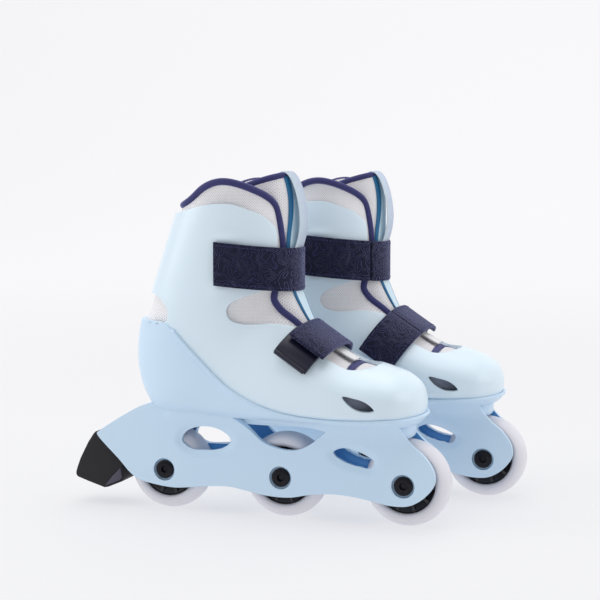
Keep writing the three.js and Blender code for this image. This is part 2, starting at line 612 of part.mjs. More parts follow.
function makeSkate(side, hasBrake) {
  const skate = new THREE.Group();
  const pieces = [
    ['shell', makeShell(), ICE_BLUE],
    ['chassis', makeChassis(hasBrake), ICE_BLUE],
    ['liner', makeLiner(), WHITE_MESH],
    ['liner_toe', makeLinerToe(), WHITE_MESH],
    ['insole', makeInsole(), GREY_FOAM],
    ['tongue', makeTongue(), WHITE_MESH],
    ['tongue_pull', sidePlate(PULL_OUTLINE, -PULL_HALF, PULL_HALF), PALE_RIBBON],
    ['cuff_strap', cuffBand(-CUFF_FLAP_END, CUFF_HINGE_ANGLE - HINGE_SLOT, STRAP_PIECES), NAVY_WEB],
    ['cuff_strap_anchor', cuffBand(CUFF_HINGE_ANGLE, CUFF_ANCHOR_END, ANCHOR_PIECES), NAVY_WEB],
    ['forefoot_strap', slopedBand(FORE_FLAP, FORE_HALF), NAVY_WEB],
    ['forefoot_strap_anchor', slopedBand(FORE_ANCHOR, FORE_HALF), NAVY_WEB],
    ['hook_tab', slopedBand(HOOK_PATH, FORE_HALF - 1, HOOK_SHIFT), BLACK_PLASTIC],
    ['size_tape', sidePlate(TAPE_OUTLINE, -TAPE_HALF, TAPE_HALF), WHITE_TAPE],
  ];
  if (hasBrake) {
    pieces.push(['brake_pad', makeBrakePad(), BLACK_RUBBER]);
    pieces.push(['brake_screw', makeBrakeScrew(), BLACK_STEEL]);
  }
  for (const [piece, solid, look] of pieces) {
    addMesh(skate, `${side}_${piece}`, solid, look);
  }
  for (const [place, x] of Object.entries(AXLES)) {
    addWheel(skate, side, place, x);
  }
  return skate;
}

// The middle of one skate's length, from the brake to the front of the front wheel.
const MIDDLE_X = (BRAKE_BACK + AXLE_SPACING + WHEEL_RADIUS) / 2;

const group = new THREE.Group();
const right = makeSkate('right', true);
right.position.set(-MIDDLE_X - LEFT_LEAD / 2, -PAIR_SPACING / 2, 0);
group.add(right);
const left = makeSkate('left', false);
left.scale.y = -1;
left.position.set(-MIDDLE_X + LEFT_LEAD / 2, PAIR_SPACING / 2, 0);
group.add(left);

export default group;
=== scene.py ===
"""A pair of children's inline skates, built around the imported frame. Pieces are shaped in millimetres in the
right skate's own frame (X to the toe, Y to the inner side, Z up, zero on the ground under the middle axle),
then placed in metres; the left skate's pieces are their mirror images."""
import math

import bmesh
import bpy
import numpy as np
from mathutils import Matrix, Vector
from mathutils.bvhtree import BVHTree


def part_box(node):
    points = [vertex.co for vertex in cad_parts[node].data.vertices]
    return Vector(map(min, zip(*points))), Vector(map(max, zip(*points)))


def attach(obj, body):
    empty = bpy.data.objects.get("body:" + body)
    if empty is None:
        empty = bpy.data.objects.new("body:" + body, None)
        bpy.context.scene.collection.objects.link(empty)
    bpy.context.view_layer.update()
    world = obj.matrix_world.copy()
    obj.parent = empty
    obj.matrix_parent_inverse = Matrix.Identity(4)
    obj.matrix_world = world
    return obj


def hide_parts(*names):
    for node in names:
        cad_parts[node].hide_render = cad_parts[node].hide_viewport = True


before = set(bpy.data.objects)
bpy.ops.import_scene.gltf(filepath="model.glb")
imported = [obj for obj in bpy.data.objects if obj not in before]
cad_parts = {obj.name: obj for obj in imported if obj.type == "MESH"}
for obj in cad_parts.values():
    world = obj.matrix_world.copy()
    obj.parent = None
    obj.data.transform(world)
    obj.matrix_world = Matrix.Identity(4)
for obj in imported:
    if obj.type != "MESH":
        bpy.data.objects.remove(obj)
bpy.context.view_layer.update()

MM = 0.001
SIDES = {"right": 1.0, "left": -1.0}
AXLE_SPACING = 88.2
AXLES = {"rear": -AXLE_SPACING, "middle": 0.0, "front": AXLE_SPACING}
WHEEL_RADIUS = 30.0
RAIL_OUTER = 17.0
BRAKED = "right"
BEAD_RADIUS = 1.35
SHELL_WALL, RAIL_WALL, CUP_WALL, TOE_WALL = 2.7, 4.0, 3.0, 3.0

# The boot form: stations that fan from the toe cap over the heel to the cuff. Each gives the low end (x, z),
# the high end (x, z), the half width, how square the low end is, and the share of an inset taken in X.
STATIONS = [
    (100.3, 82.5, 100.3, 88.0, 4.0, 2.0, 1.0), (99.3, 77.0, 99.3, 93.0, 12.5, 2.2, 1.0),
    (96.5, 73.0, 96.5, 99.0, 21.0, 2.4, 0.9), (90.0, 70.5, 89.0, 105.0, 30.5, 2.8, 0.6),
    (76.0, 70.0, 74.0, 110.5, 38.5, 3.2, 0.3), (52.0, 70.0, 50.0, 116.5, 43.0, 3.4, 0.0),
    (20.0, 70.0, 31.0, 129.0, 43.0, 3.4, 0.0), (-20.0, 70.0, 22.0, 140.0, 41.0, 3.2, 0.0),
    (-62.0, 70.5, 15.0, 149.0, 38.5, 2.8, 0.0), (-98.0, 75.0, 11.0, 157.0, 37.5, 2.5, 0.0),
    (-110.0, 98.0, 9.5, 165.0, 37.5, 2.3, 0.0), (-110.5, 128.0, 9.0, 172.0, 38.0, 2.2, 0.0),
    (-101.5, 157.0, 9.0, 182.0, 38.3, 2.2, 0.0), (-91.5, 187.0, 8.0, 196.0, 38.5, 2.2, 0.0),
    (-83.0, 211.0, 5.0, 212.0, 38.5, 2.2, 0.0), (-76.0, 228.0, 1.0, 228.0, 38.0, 2.2, 0.0),
]
COLLAR_STATIONS = [(-70.0, 238.0, 0.0, 238.0, 41.0, 2.2, 0.0), (-66.0, 248.0, -2.0, 248.0, 41.0, 2.2, 0.0)]
HIGH_POWER = 2.0
THINNEST = 1.5

SEAM = [(-130, 138), (-80, 138), (-74, 134.5), (-66, 126), (-54.5, 115), (-43, 104), (-31.5, 94.5), (-20, 88),
        (-12, 84.2), (-3, 80.8), (16, 76.8), (42, 75.5), (79, 76.5), (110, 78.5)]
CUFF_TOP = [(-120, 212), (-80, 214), (-62, 217), (-50, 220), (-36, 221.5), (-28, 221), (-20, 218.5),
            (-8, 212.5),
            (0, 203), (5, 196), (8, 188), (20, 178)]
ANKLE_NOTCH = [(40, 127), (24, 133), (12, 137.5), (0, 139.5), (-11, 139), (-22, 139), (-30, 141.5),
               (-33, 147),
               (-31, 152.5), (-24, 156.5), (-13, 160.5), (0, 165), (14, 169), (40, 172)]
HEEL_WINDOW = [(-140, 137.5), (-100, 138), (-84, 137.5), (-78.5, 139), (-76.5, 144.5), (-79, 150),
               (-84.5, 154.5),
               (-92, 157.5), (-104, 157), (-140, 157)]
TOE_VENT = [(52, 94.2), (59, 93), (66, 91.2), (71, 88), (73.6, 84.2), (69, 83.2), (63, 84), (57, 87.5),
            (53.5, 91)]
THROAT_HALF, THROAT_WIDE, THROAT_CENTRE, THROAT_REACH, THROAT_BACK, THROAT_LOW = 20.5, 27.5, 48.0, 20.0, -40.0, 100.0


# ---------------------------------------------------------------- small geometry tools

def smooth_path(points, count, closed=False):
    """count points along a centripetal curve through a few given points."""
    knots = [np.array(p, dtype=float) for p in points]
    if closed:
        knots = [knots[-1]] + knots + knots[:2]
    else:
        knots = [2 * knots[0] - knots[1]] + knots + [2 * knots[-1] - knots[-2]]
    spans = len(knots) - 3
    out = []
    total = count if closed else count - 1
    for k in range(count):
        at = spans * k / total
        i = min(int(at), spans - 1)
        t = at - i
        p0, p1, p2, p3 = knots[i:i + 4]
        d0 = max(np.linalg.norm(p1 - p0) ** 0.5, 1e-6)
        d1 = max(np.linalg.norm(p2 - p1) ** 0.5, 1e-6)
        d2 = max(np.linalg.norm(p3 - p2) ** 0.5, 1e-6)
        m1 = (p2 - p1) + d1 * ((p1 - p0) / d0 - (p2 - p0) / (d0 + d1))
        m2 = (p2 - p1) + d1 * ((p3 - p2) / d2 - (p3 - p1) / (d1 + d2))
        t2, t3 = t * t, t * t * t
        out.append((2 * t3 - 3 * t2 + 1) * p1 + (t3 - 2 * t2 + t) * m1 + (3 * t2 - 2 * t3) * p2 + (t3 - t2) * m2)
    return np.array(out)


def step(value, low, high):
    t = np.clip((value - low) / (high - low), 0, 1)
    return t * t * (3 - 2 * t)


def outline_field(points):
    """Signed distance in the XZ plane to a closed outline: negative inside."""
    a = np.array(points, dtype=float)
    b = np.roll(a, -1, axis=0)

    def field(co):
        p = co[:, [0, 2]][:, None, :]
        ab = (b - a)[None]
        t = np.clip(((p - a) * ab).sum(2) / np.maximum((ab * ab).sum(2), 1e-9), 0, 1)
        gap = np.linalg.norm(p - (a + t[..., None] * ab), axis=2).min(1)
        above = (a[:, 1] > p[..., 1]) != (b[:, 1] > p[..., 1])
        rise = np.where(np.abs(b[:, 1] - a[:, 1]) < 1e-9, 1e-9, b[:, 1] - a[:, 1])
        cross = p[..., 0] < (b[:, 0] - a[:, 0]) * (p[..., 1] - a[:, 1]) / rise + a[:, 0]
        inside = (above & cross).sum(1) % 2 == 1
        return np.where(inside, -gap, gap)
    return field


def line_height(points, count=80):
    path = smooth_path(points, count)
    order = np.argsort(path[:, 0])
    return lambda x: np.interp(x, path[order, 0], path[order, 1])


def trim(bm, field, snap=0.28):
    """Cuts a sheet along the line where field is zero and drops the side where it is negative."""
    bm.verts.index_update()
    value = dict(zip(bm.verts, field(np.array([v.co[:] for v in bm.verts]))))
    moves = {}
    for edge in bm.edges:
        a, b = edge.verts
        if value[a] * value[b] < 0:
            t = value[a] / (value[a] - value[b])
            near, share = (a, t) if t < 0.5 else (b, 1 - t)
            if share < snap and share < moves.get(near, (1, None))[0]:
                moves[near] = (share, a.co.lerp(b.co, t))
    for vert, (_, place) in moves.items():
        vert.co = place
        value[vert] = 0.0
    for edge in [e for e in bm.edges if value[e.verts[0]] * value[e.verts[1]] < 0]:
        a, b = edge.verts
        _, vert = bmesh.utils.edge_split(edge, a, value[a] / (value[a] - value[b]))
        value[vert] = 0.0
    on_line = [v for v in bm.verts if value[v] == 0.0]
    bmesh.ops.connect_verts(bm, verts=on_line)
    lost = [f for f in bm.faces if sum(value[v] for v in f.verts) < 0]
    bmesh.ops.delete(bm, geom=lost, context="FACES")


def loft(rings, cap_start=False, cap_end=False, closed=True):
    """Loops of points, bridged one to the next."""
    bm = bmesh.new()
    loops = []
    for ring in rings:
        verts = [bm.verts.new(p) for p in ring]
        ends = verts[1:] + verts[:1] if closed else verts[1:]
        loops.append([bm.edges.new(pair) for pair in zip(verts, ends)])
    for first, second in zip(loops, loops[1:]):
        bmesh.ops.bridge_loops(bm, edges=first + second)
    if cap_start:
        bmesh.ops.contextual_create(bm, geom=loops[0])
    if cap_end:
        bmesh.ops.contextual_create(bm, geom=loops[-1])
    bmesh.ops.recalc_face_normals(bm, faces=bm.faces)
    return bm


BOOT_MIDDLE = (-30, 0, 110)


def thicken(bm, thickness, rim=0.0, segments=2, around=None):
    """Gives a sheet a wall on its inner side and rounds the rim; the point `around` is on the inner side."""
    bmesh.ops.recalc_face_normals(bm, faces=bm.faces)
    if around is not None:
        middle = Vector(around)
        if sum(f.calc_area() * f.normal.dot(f.calc_center_median() - middle) for f in bm.faces) < 0:
            bmesh.ops.reverse_faces(bm, faces=bm.faces)
    outer = set(bm.faces)
    bmesh.ops.solidify(bm, geom=list(bm.faces), thickness=thickness)
    if rim:
        corners = [e for e in bm.edges if len(e.link_faces) == 2 and e.calc_face_angle(0) > 0.9]
        bmesh.ops.bevel(bm, geom=corners, offset=rim, segments=segments, profile=0.5, affect="EDGES",
                        clamp_overlap=True, material=-1)
    return outer


def round_edges(bm, offset, segments=2, angle=0.6):
    corners = [e for e in bm.edges if len(e.link_faces) == 2 and e.calc_face_angle(0) > angle]
    bmesh.ops.bevel(bm, geom=corners, offset=offset, segments=segments, profile=0.5, affect="EDGES",
                    clamp_overlap=True, material=-1)


def side_slab(points, y_low, y_high, rounding=0.0, segments=2):
    """An outline in the XZ plane, extruded across the skate, with rounded edges."""
    bm = bmesh.new()
    face = bm.faces.new([bm.verts.new((x, y_low, z)) for x, z in points])
    grown = bmesh.ops.extrude_face_region(bm, geom=[face])
    top = [g for g in grown["geom"] if isinstance(g, bmesh.types.BMVert)]
    bmesh.ops.translate(bm, verts=top, vec=(0, y_high - y_low, 0))
    bmesh.ops.recalc_face_normals(bm, faces=bm.faces)
    if rounding:
        round_edges(bm, rounding, segments)
    return bm


def turned(profile, sides, x=0.0, z=WHEEL_RADIUS):
    """A profile of (radius, distance along the axle) spun about an axle across the skate."""
    bm = bmesh.new()
    verts = [bm.verts.new((0, y, r)) for r, y in profile]
    edges = [bm.edges.new(pair) for pair in zip(verts, verts[1:])]
    bmesh.ops.spin(bm, geom=verts + edges, axis=(0, 1, 0), cent=(0, 0, 0), dvec=(0, 0, 0),
                   angle=2 * math.pi, steps=sides, use_merge=True)
    bmesh.ops.remove_doubles(bm, verts=bm.verts, dist=1e-4)
    bmesh.ops.recalc_face_normals(bm, faces=bm.faces)
    bmesh.ops.translate(bm, verts=bm.verts, vec=(x, 0, z))
    return bm


def join(pieces):
    """Several bmeshes become the first one."""
    whole = pieces[0]
    for piece in pieces[1:]:
        spare = bpy.data.meshes.new("spare")
        piece.to_mesh(spare)
        piece.free()
        whole.from_mesh(spare)
        bpy.data.meshes.remove(spare)
    return whole


def tube(points, radius, sides=8, closed=False):
    """A round bar that follows a path, with closed ends."""
    path = [Vector(p) for p in points]
    count = len(path)
    rings = []
    normal = None
    for k, point in enumerate(path):
        before = path[(k - 1) % count] if closed or k else path[0]
        after = path[(k + 1) % count] if closed or k + 1 < count else path[-1]
        way = (after - before).normalized()
        if normal is None:
            normal = way.orthogonal().normalized()
        normal = (normal - way * normal.dot(way)).normalized()
        other = way.cross(normal)
        size = radius[k] if hasattr(radius, "__len__") else radius
        rings.append([point + size * (math.cos(a) * normal + math.sin(a) * other)
                      for a in [2 * math.pi * s / sides for s in range(sides)]])
    if closed:
        rings.append(rings[0])
    bm = loft(rings, cap_start=not closed, cap_end=not closed)
    if closed:
        bmesh.ops.remove_doubles(bm, verts=bm.verts, dist=1e-4)
    return bm


# ---------------------------------------------------------------- the boot form

def station_at(stations, along):
    """The station at a fractional index, on a smooth curve through all of them."""
    table = np.array(stations)
    last = len(table) - 1
    i = min(max(int(along), 0), last - 1)
    t = along - i
    p1, p2 = table[i], table[i + 1]
    p0 = table[i - 1] if i else 2 * p1 - p2
    p3 = table[i + 2] if i + 2 <= last else 2 * p2 - p1

    def length(a, b):
        return max(math.hypot(a[0] - b[0], a[1] - b[1]) + math.hypot(a[2] - b[2], a[3] - b[3]), 1e-3)
    d0, d1, d2 = length(p0, p1), length(p1, p2), length(p2, p3)
    m1 = d1 * (d1 * (p1 - p0) / d0 + d0 * (p2 - p1) / d1) / (d0 + d1)
    m2 = d1 * (d2 * (p2 - p1) / d1 + d1 * (p3 - p2) / d2) / (d1 + d2)
    t2, t3 = t * t, t * t * t
    return (2 * t3 - 3 * t2 + 1) * p1 + (t3 - 2 * t2 + t) * m1 + (3 * t2 - 2 * t3) * p2 + (t3 - t2) * m2


def form_point(station, angle, depth):
    low, high = Vector((station[0], 0, station[1])), Vector((station[2], 0, station[3]))
    along = low - high
    half_length = max(along.length / 2 - depth, THINNEST / 2)
    along.normalize()
    middle = (low + high) / 2 - Vector((station[6] * depth, 0, 0))
    c, s = math.cos(angle), math.sin(angle)
    power = station[5] if c > 0 else HIGH_POWER
    u = math.copysign(abs(c) ** (2 / power), c)
    v = math.copysign(abs(s) ** (2 / power), s)
    return middle + along * (half_length * u) + Vector((0, max(station[4] - depth, THINNEST) * v, 0))


def form_sheet(depth, stations=STATIONS, along=110, around=88, first=0.0, cap=True):
    """The boot form as one fine sheet at a depth below the outer surface."""
    last = len(stations) - 1
    rings = []
    for r in range(along + 1):
        station = station_at(stations, first + (last - first) * r / along)
        rings.append([form_point(station, 2 * math.pi * k / around, depth) for k in range(around)])
    return loft(rings, cap_start=cap)


seam_height = line_height(SEAM)
cuff_height = line_height(CUFF_TOP)


def throat_field(co):
    half = np.interp(co[:, 0], (5, 36), (THROAT_HALF, THROAT_WIDE))
    ahead = np.maximum(co[:, 0] - THROAT_CENTRE, 0) / THROAT_REACH * THROAT_WIDE
    reach = np.hypot(ahead, co[:, 1]) - half
    return np.maximum(np.maximum(reach, THROAT_BACK - co[:, 0]), THROAT_LOW - co[:, 2])


# ---------------------------------------------------------------- placing pieces

def origin_of(side):
    low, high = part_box(f"{side}_middle_tyre")
    return Vector(((low[0] + high[0]) / 2, (low[1] + high[1]) / 2, 0))


def place_pair(name, bm, part, nodes, materials, angle=None, sides=("right", "left")):
    """Turns a right-hand shape into pieces on the named sides. part is the body's name without its side."""
    made = []
    for side in sides:
        mesh = bpy.data.meshes.new(f"{side}_{name}")
        bm.to_mesh(mesh)
        mesh.transform(Matrix.Translation(origin_of(side)) @ Matrix.Diagonal((MM, MM * SIDES[side], MM, 1)))
        if SIDES[side] < 0:
            mesh.flip_normals()
        for material in materials:
            mesh.materials.append(material)
        mesh.shade_smooth()
        if angle:
            mesh.set_sharp_from_angle(angle=angle)
        piece = bpy.data.objects.new(f"{side}_{name}", mesh)
        bpy.context.scene.collection.objects.link(piece)
        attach(piece, f"{side}_{part}")
        if nodes:
            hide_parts(*[f"{side}_{node}" for node in nodes])
        made.append(piece)
    bm.free()
    return made


# ---------------------------------------------------------------- materials

def node_group(name, inputs, outputs):
    group = bpy.data.node_groups.new(name, "ShaderNodeTree")
    for label, kind in inputs:
        group.interface.new_socket(label, in_out="INPUT", socket_type=kind)
    for label, kind in outputs:
        group.interface.new_socket(label, in_out="OUTPUT", socket_type=kind)
    return group, group.nodes.new("NodeGroupInput"), group.nodes.new("NodeGroupOutput")


def add_math(tree, operation, first, second=None, third=None):
    node = tree.nodes.new("ShaderNodeMath")
    node.operation = operation
    for socket, value in zip(node.inputs, (first, second, third)):
        if value is None:
            continue
        if isinstance(value, (int, float)):
            socket.default_value = value
        else:
            tree.links.new(value, socket)
    return node.outputs[0]


def add_ramp(tree, value, low, high):
    """0 below low, 1 above high, smooth between."""
    node = tree.nodes.new("ShaderNodeMapRange")
    node.interpolation_type = "SMOOTHSTEP"
    node.inputs["From Min"].default_value = low
    node.inputs["From Max"].default_value = high
    tree.links.new(value, node.inputs["Value"])
    return node.outputs["Result"]


def pinhole_group():
    """The knit's rows of small holes, set on the diagonal."""
    group, source, result = node_group("pinholes",
                                       [("Place", "NodeSocketVector"), ("Pitch", "NodeSocketFloat")],
                                       [("Hole", "NodeSocketFloat"), ("Height", "NodeSocketFloat")])
    split = group.nodes.new("ShaderNodeSeparateXYZ")
    group.links.new(source.outputs["Place"], split.inputs[0])
    terms = []
    for operation in ("ADD", "SUBTRACT"):
        diagonal = add_math(group, operation, split.outputs[0], split.outputs[1])
        turns = add_math(group, "DIVIDE", diagonal, source.outputs["Pitch"])
        away = add_math(group, "SUBTRACT", add_math(group, "FRACT", turns), 0.5)
        terms.append(add_math(group, "MULTIPLY", away, away))
    reach = add_math(group, "SQRT", add_math(group, "ADD", *terms))
    solid = add_ramp(group, reach, 0.13, 0.27)
    group.links.new(add_math(group, "SUBTRACT", 1.0, solid), result.inputs["Hole"])
    group.links.new(solid, result.inputs["Height"])
    return group


def contour_group():
    """Raised lines that wander over the webbing like height lines on a map."""
    group, source, result = node_group("contours", [("Place", "NodeSocketVector")],
                                       [("Line", "NodeSocketFloat")])
    noise = group.nodes.new("ShaderNodeTexNoise")
    noise.inputs["Scale"].default_value = 0.075
    noise.inputs["Detail"].default_value = 1.0
    noise.inputs["Distortion"].default_value = 0.6
    group.links.new(source.outputs["Place"], noise.inputs["Vector"])
    turns = add_math(group, "MULTIPLY", noise.outputs["Fac"], 17.0)
    away = add_math(group, "ABSOLUTE", add_math(group, "SUBTRACT", add_math(group, "FRACT", turns), 0.5))
    line = add_math(group, "SUBTRACT", 1.0, add_ramp(group, away, 0.06, 0.17))
    group.links.new(line, result.inputs["Line"])
    return group


def cloud_group():
    """Slow, faint unevenness from place to place."""
    group, source, result = node_group("clouds",
                                       [("Place", "NodeSocketVector"), ("Scale", "NodeSocketFloat")],
                                       [("Value", "NodeSocketFloat")])
    noise = group.nodes.new("ShaderNodeTexNoise")
    noise.inputs["Detail"].default_value = 3.0
    group.links.new(source.outputs["Place"], noise.inputs["Vector"])
    group.links.new(source.outputs["Scale"], noise.inputs["Scale"])
    group.links.new(noise.outputs["Fac"], result.inputs["Value"])
    return group


GROUPS = {}


def use_group(tree, name, place, **values):
    node = tree.nodes.new("ShaderNodeGroup")
    node.node_tree = GROUPS[name]
    tree.links.new(place, node.inputs["Place"])
    for label, value in values.items():
        node.inputs[label].default_value = value
    return node


def object_place(tree):
    return tree.nodes.new("ShaderNodeTexCoord").outputs["Object"]


def weave_place(tree):
    node = tree.nodes.new("ShaderNodeAttribute")
    node.attribute_name = "weave"
    return node.outputs["Vector"]


def mix_colours(tree, share, first, second):
    node = tree.nodes.new("ShaderNodeMix")
    node.data_type = "RGBA"
    tree.links.new(share, node.inputs["Factor"])
    for label, value in (("A", first), ("B", second)):
        socket = [s for s in node.inputs if s.name == label and s.type == "RGBA"][0]
        if isinstance(value, tuple):
            socket.default_value = (*value, 1)
        else:
            tree.links.new(value, socket)
    return [s for s in node.outputs if s.type == "RGBA"][0]


def add_bump(tree, shader, height, distance, strength=1.0):
    bump = tree.nodes.new("ShaderNodeBump")
    bump.inputs["Distance"].default_value = distance
    bump.inputs["Strength"].default_value = strength
    tree.links.new(height, bump.inputs["Height"])
    tree.links.new(bump.outputs[0], shader.inputs["Normal"])


def new_material(name, roughness, metallic=0.0, **extra):
    material = bpy.data.materials.new(name)
    material.use_nodes = True
    tree = material.node_tree
    tree.nodes.clear()
    shader = tree.nodes.new("ShaderNodeBsdfPrincipled")
    end = tree.nodes.new("ShaderNodeOutputMaterial")
    tree.links.new(shader.outputs[0], end.inputs[0])
    shader.inputs["Roughness"].default_value = roughness
    shader.inputs["Metallic"].default_value = metallic
    for label, value in extra.items():
        shader.inputs[label.replace("_", " ")].default_value = value
    return material, tree, shader


def moulded(name, pale, deep, roughness, scale=25.0, bump=0.00002, **extra):
    """A moulded or cast material: its colour drifts a little, and its skin is faintly uneven."""
    material, tree, shader = new_material(name, roughness, **extra)
    place = object_place(tree)
    cloud = use_group(tree, "clouds", place, Scale=scale).outputs[0]
    tree.links.new(mix_colours(tree, cloud, pale, deep), shader.inputs["Base Color"])
    grain = use_group(tree, "clouds", place, Scale=2600.0).outputs[0]
    add_bump(tree, shader, grain, bump)
    return material


def knitted(name, thread, hole, pitch=1.9, depth=0.0004):
    """Padded knit with small holes."""
    material, tree, shader = new_material(name, 0.85)
    holes = use_group(tree, "pinholes", weave_place(tree), Pitch=pitch)
    cloud = use_group(tree, "clouds", object_place(tree), Scale=60.0).outputs[0]
    tone = mix_colours(tree, cloud, thread, tuple(0.93 * c for c in thread))
    tree.links.new(mix_colours(tree, holes.outputs["Hole"], tone, hole), shader.inputs["Base Color"])
    add_bump(tree, shader, holes.outputs["Height"], depth)
    return material


def woven(name, ground, thread, line_share=0.55, fine=9.0, contours=True):
    """Tight webbing with an embossed pattern of lines."""
    material, tree, shader = new_material(name, 0.7, Specular_IOR_Level=0.2, Sheen_Weight=0.9,
                                          Sheen_Roughness=0.32,
                                          Sheen_Tint=(0.55, 0.58, 1.0, 1))
    place = weave_place(tree)
    ribs = tree.nodes.new("ShaderNodeTexWave")
    ribs.bands_direction = "DIAGONAL"
    ribs.inputs["Scale"].default_value = fine / 10
    ribs.inputs["Distortion"].default_value = 1.5
    tree.links.new(place, ribs.inputs["Vector"])
    height = add_math(tree, "MULTIPLY", ribs.outputs["Fac"], 0.25)
    share = add_math(tree, "MULTIPLY", ribs.outputs["Fac"], 0.2)
    if contours:
        line = use_group(tree, "contours", place).outputs[0]
        height = add_math(tree, "ADD", height, line)
        share = add_math(tree, "ADD", share, add_math(tree, "MULTIPLY", line, line_share))
    tree.links.new(mix_colours(tree, share, ground, thread), shader.inputs["Base Color"])
    add_bump(tree, shader, height, 0.00035)
    return material


def build_materials():
    GROUPS.update(pinholes=pinhole_group(), contours=contour_group(), clouds=cloud_group())
    return {
        "shell": moulded("shell_plastic", (0.74, 0.87, 0.955), (0.73, 0.86, 0.95), 0.36, Coat_Weight=0.12),
        "chassis": moulded("chassis_plastic", (0.62, 0.785, 0.94), (0.605, 0.775, 0.935), 0.38,
                           Coat_Weight=0.10),
        # Painted shade: a deeper, saturated blue for the rails' inner faces, standing for the shadowed inside of the
        # frame.
        "inside": moulded("chassis_painted_shade", (0.10, 0.36, 0.74), (0.09, 0.34, 0.72), 0.5),
        "knit": knitted("liner_knit", (0.99, 0.97, 0.98), (0.62, 0.59, 0.65)),
        # Painted shade: a dark grey-blue copy of the white knit, for the liner toe's white mesh lying in shadow
        # under the shell.
        "shaded_toe_knit": knitted("shaded_toe_knit", (0.40, 0.43, 0.54), (0.12, 0.13, 0.20), pitch=1.7),
        "toe_cloth": knitted("toe_cloth", (0.90, 0.88, 0.90), (0.72, 0.69, 0.73), pitch=1.1, depth=0.0002),
        "piping": woven("navy_piping", (0.045, 0.045, 0.15), (0.075, 0.075, 0.22), contours=False),
        "webbing": woven("navy_webbing", (0.004, 0.005, 0.020), (0.030, 0.032, 0.10)),
        "hook": moulded("hook_black", (0.006, 0.007, 0.02), (0.008, 0.009, 0.028), 0.3, bump=0.00003),
        "shield": moulded("tongue_shield", (0.66, 0.83, 0.92), (0.64, 0.81, 0.91), 0.6),
        # Painted shade: a dark blue-green for the strips along the shield's edges, standing for the shield's side
        # wall in shadow.
        "edge_shade": moulded("tongue_edge_painted_shade", (0.01, 0.13, 0.29), (0.012, 0.15, 0.33), 0.6),
        "ribbon": woven("pull_ribbon", (0.74, 0.86, 0.93), (0.82, 0.90, 0.95), fine=14.0, contours=False),
        "tape": moulded("size_tape", (0.84, 0.84, 0.84), (0.80, 0.80, 0.81), 0.5),
        "fold": moulded("tape_fold", (0.35, 0.34, 0.36), (0.42, 0.41, 0.43), 0.6),
        "foam": moulded("insole_foam", (0.21, 0.22, 0.29), (0.18, 0.19, 0.26), 0.9, scale=120.0),
        "tyre": moulded("tyre_urethane", (0.80, 0.785, 0.83), (0.78, 0.765, 0.82), 0.42, scale=40.0),
        "hub": moulded("hub_plastic", (0.008, 0.008, 0.012), (0.012, 0.012, 0.018), 0.32),
        "rubber": moulded("brake_rubber", (0.012, 0.011, 0.014), (0.017, 0.016, 0.020), 0.55, bump=0.00006,
                          Specular_IOR_Level=0.3),
        "wear": moulded("brake_wear", (0.075, 0.065, 0.10), (0.06, 0.052, 0.085), 0.6),
        "steel": moulded("black_steel", (0.006, 0.006, 0.010), (0.010, 0.010, 0.014), 0.3, metallic=0.6),
        "bearing": moulded("bearing_steel", (0.45, 0.46, 0.48), (0.40, 0.41, 0.43), 0.3, metallic=1.0),
    }


# ---------------------------------------------------------------- more shape tools

def mark_weave(bm, place):
    """Stores where each point lies on the flat cloth, in millimetres."""
    layer = bm.verts.layers.float_vector.new("weave")
    for vert in bm.verts:
        vert[layer] = Vector(place(vert.co))


def around_leg(co):
    angle = abs(math.atan2(co.y, co.x + 36.0))
    return angle * 38.0, co.z, 0.0


def band(path, across, half, thickness, rim=0.5, rounding=3):
    """A strap along a path. across is its width direction; the path is the middle of its outer face."""
    across = Vector(across).normalized()
    points = [Vector(p) for p in path]
    inner = -thickness
    section = []
    for side, low, high in ((1, inner + rim, -rim), (-1, -rim, inner + rim)):
        for height, start in ((low, -1), (high, 1)) if side > 0 else ((low, 1), (high, -1)):
            for k in range(rounding + 1):
                turn = k / rounding * math.pi / 2
                if side > 0:
                    a = (-math.pi / 2 + turn) if start < 0 else turn
                else:
                    a = (math.pi / 2 + turn) if start > 0 else (math.pi + turn)
                section.append((side * (half - rim) + rim * math.cos(a), height + rim * math.sin(a)))
    rings = []
    run = [0.0]
    for k, point in enumerate(points):
        before, after = points[max(k - 1, 0)], points[min(k + 1, len(points) - 1)]
        way = (after - before).normalized()
        out = across.cross(way).normalized()
        rings.append([point + across * w + out * h for w, h in section])
        if k:
            run.append(run[-1] + (point - points[k - 1]).length)
    bm = loft(rings, cap_start=True, cap_end=True)
    layer = bm.verts.layers.float_vector.new("weave")
    bm.verts.ensure_lookup_table()
    size = len(section)
    for index, vert in enumerate(bm.verts):
        ring = min(index // size, len(points) - 1)
        vert[layer] = Vector((run[ring], (vert.co - points[ring]).dot(across), 0))
    caps = [f for f in bm.faces if len(f.verts) == size]
    bmesh.ops.bevel(bm, geom=list({e for f in caps for e in f.edges}), offset=rim * 0.8, segments=2,
                    profile=0.5,
                    affect="EDGES", clamp_overlap=True, material=-1)
    return bm


def paint(bm, index, faces=None):
    for face in bm.faces if faces is None else faces:
        face.material_index = index
    return bm


# ---------------------------------------------------------------- shell

BUMPS = [(-33.0, 197.5, 9.0, 2.6, 1.5), (-37.5, 162.5, 6.0, 3.0, 1.3)]


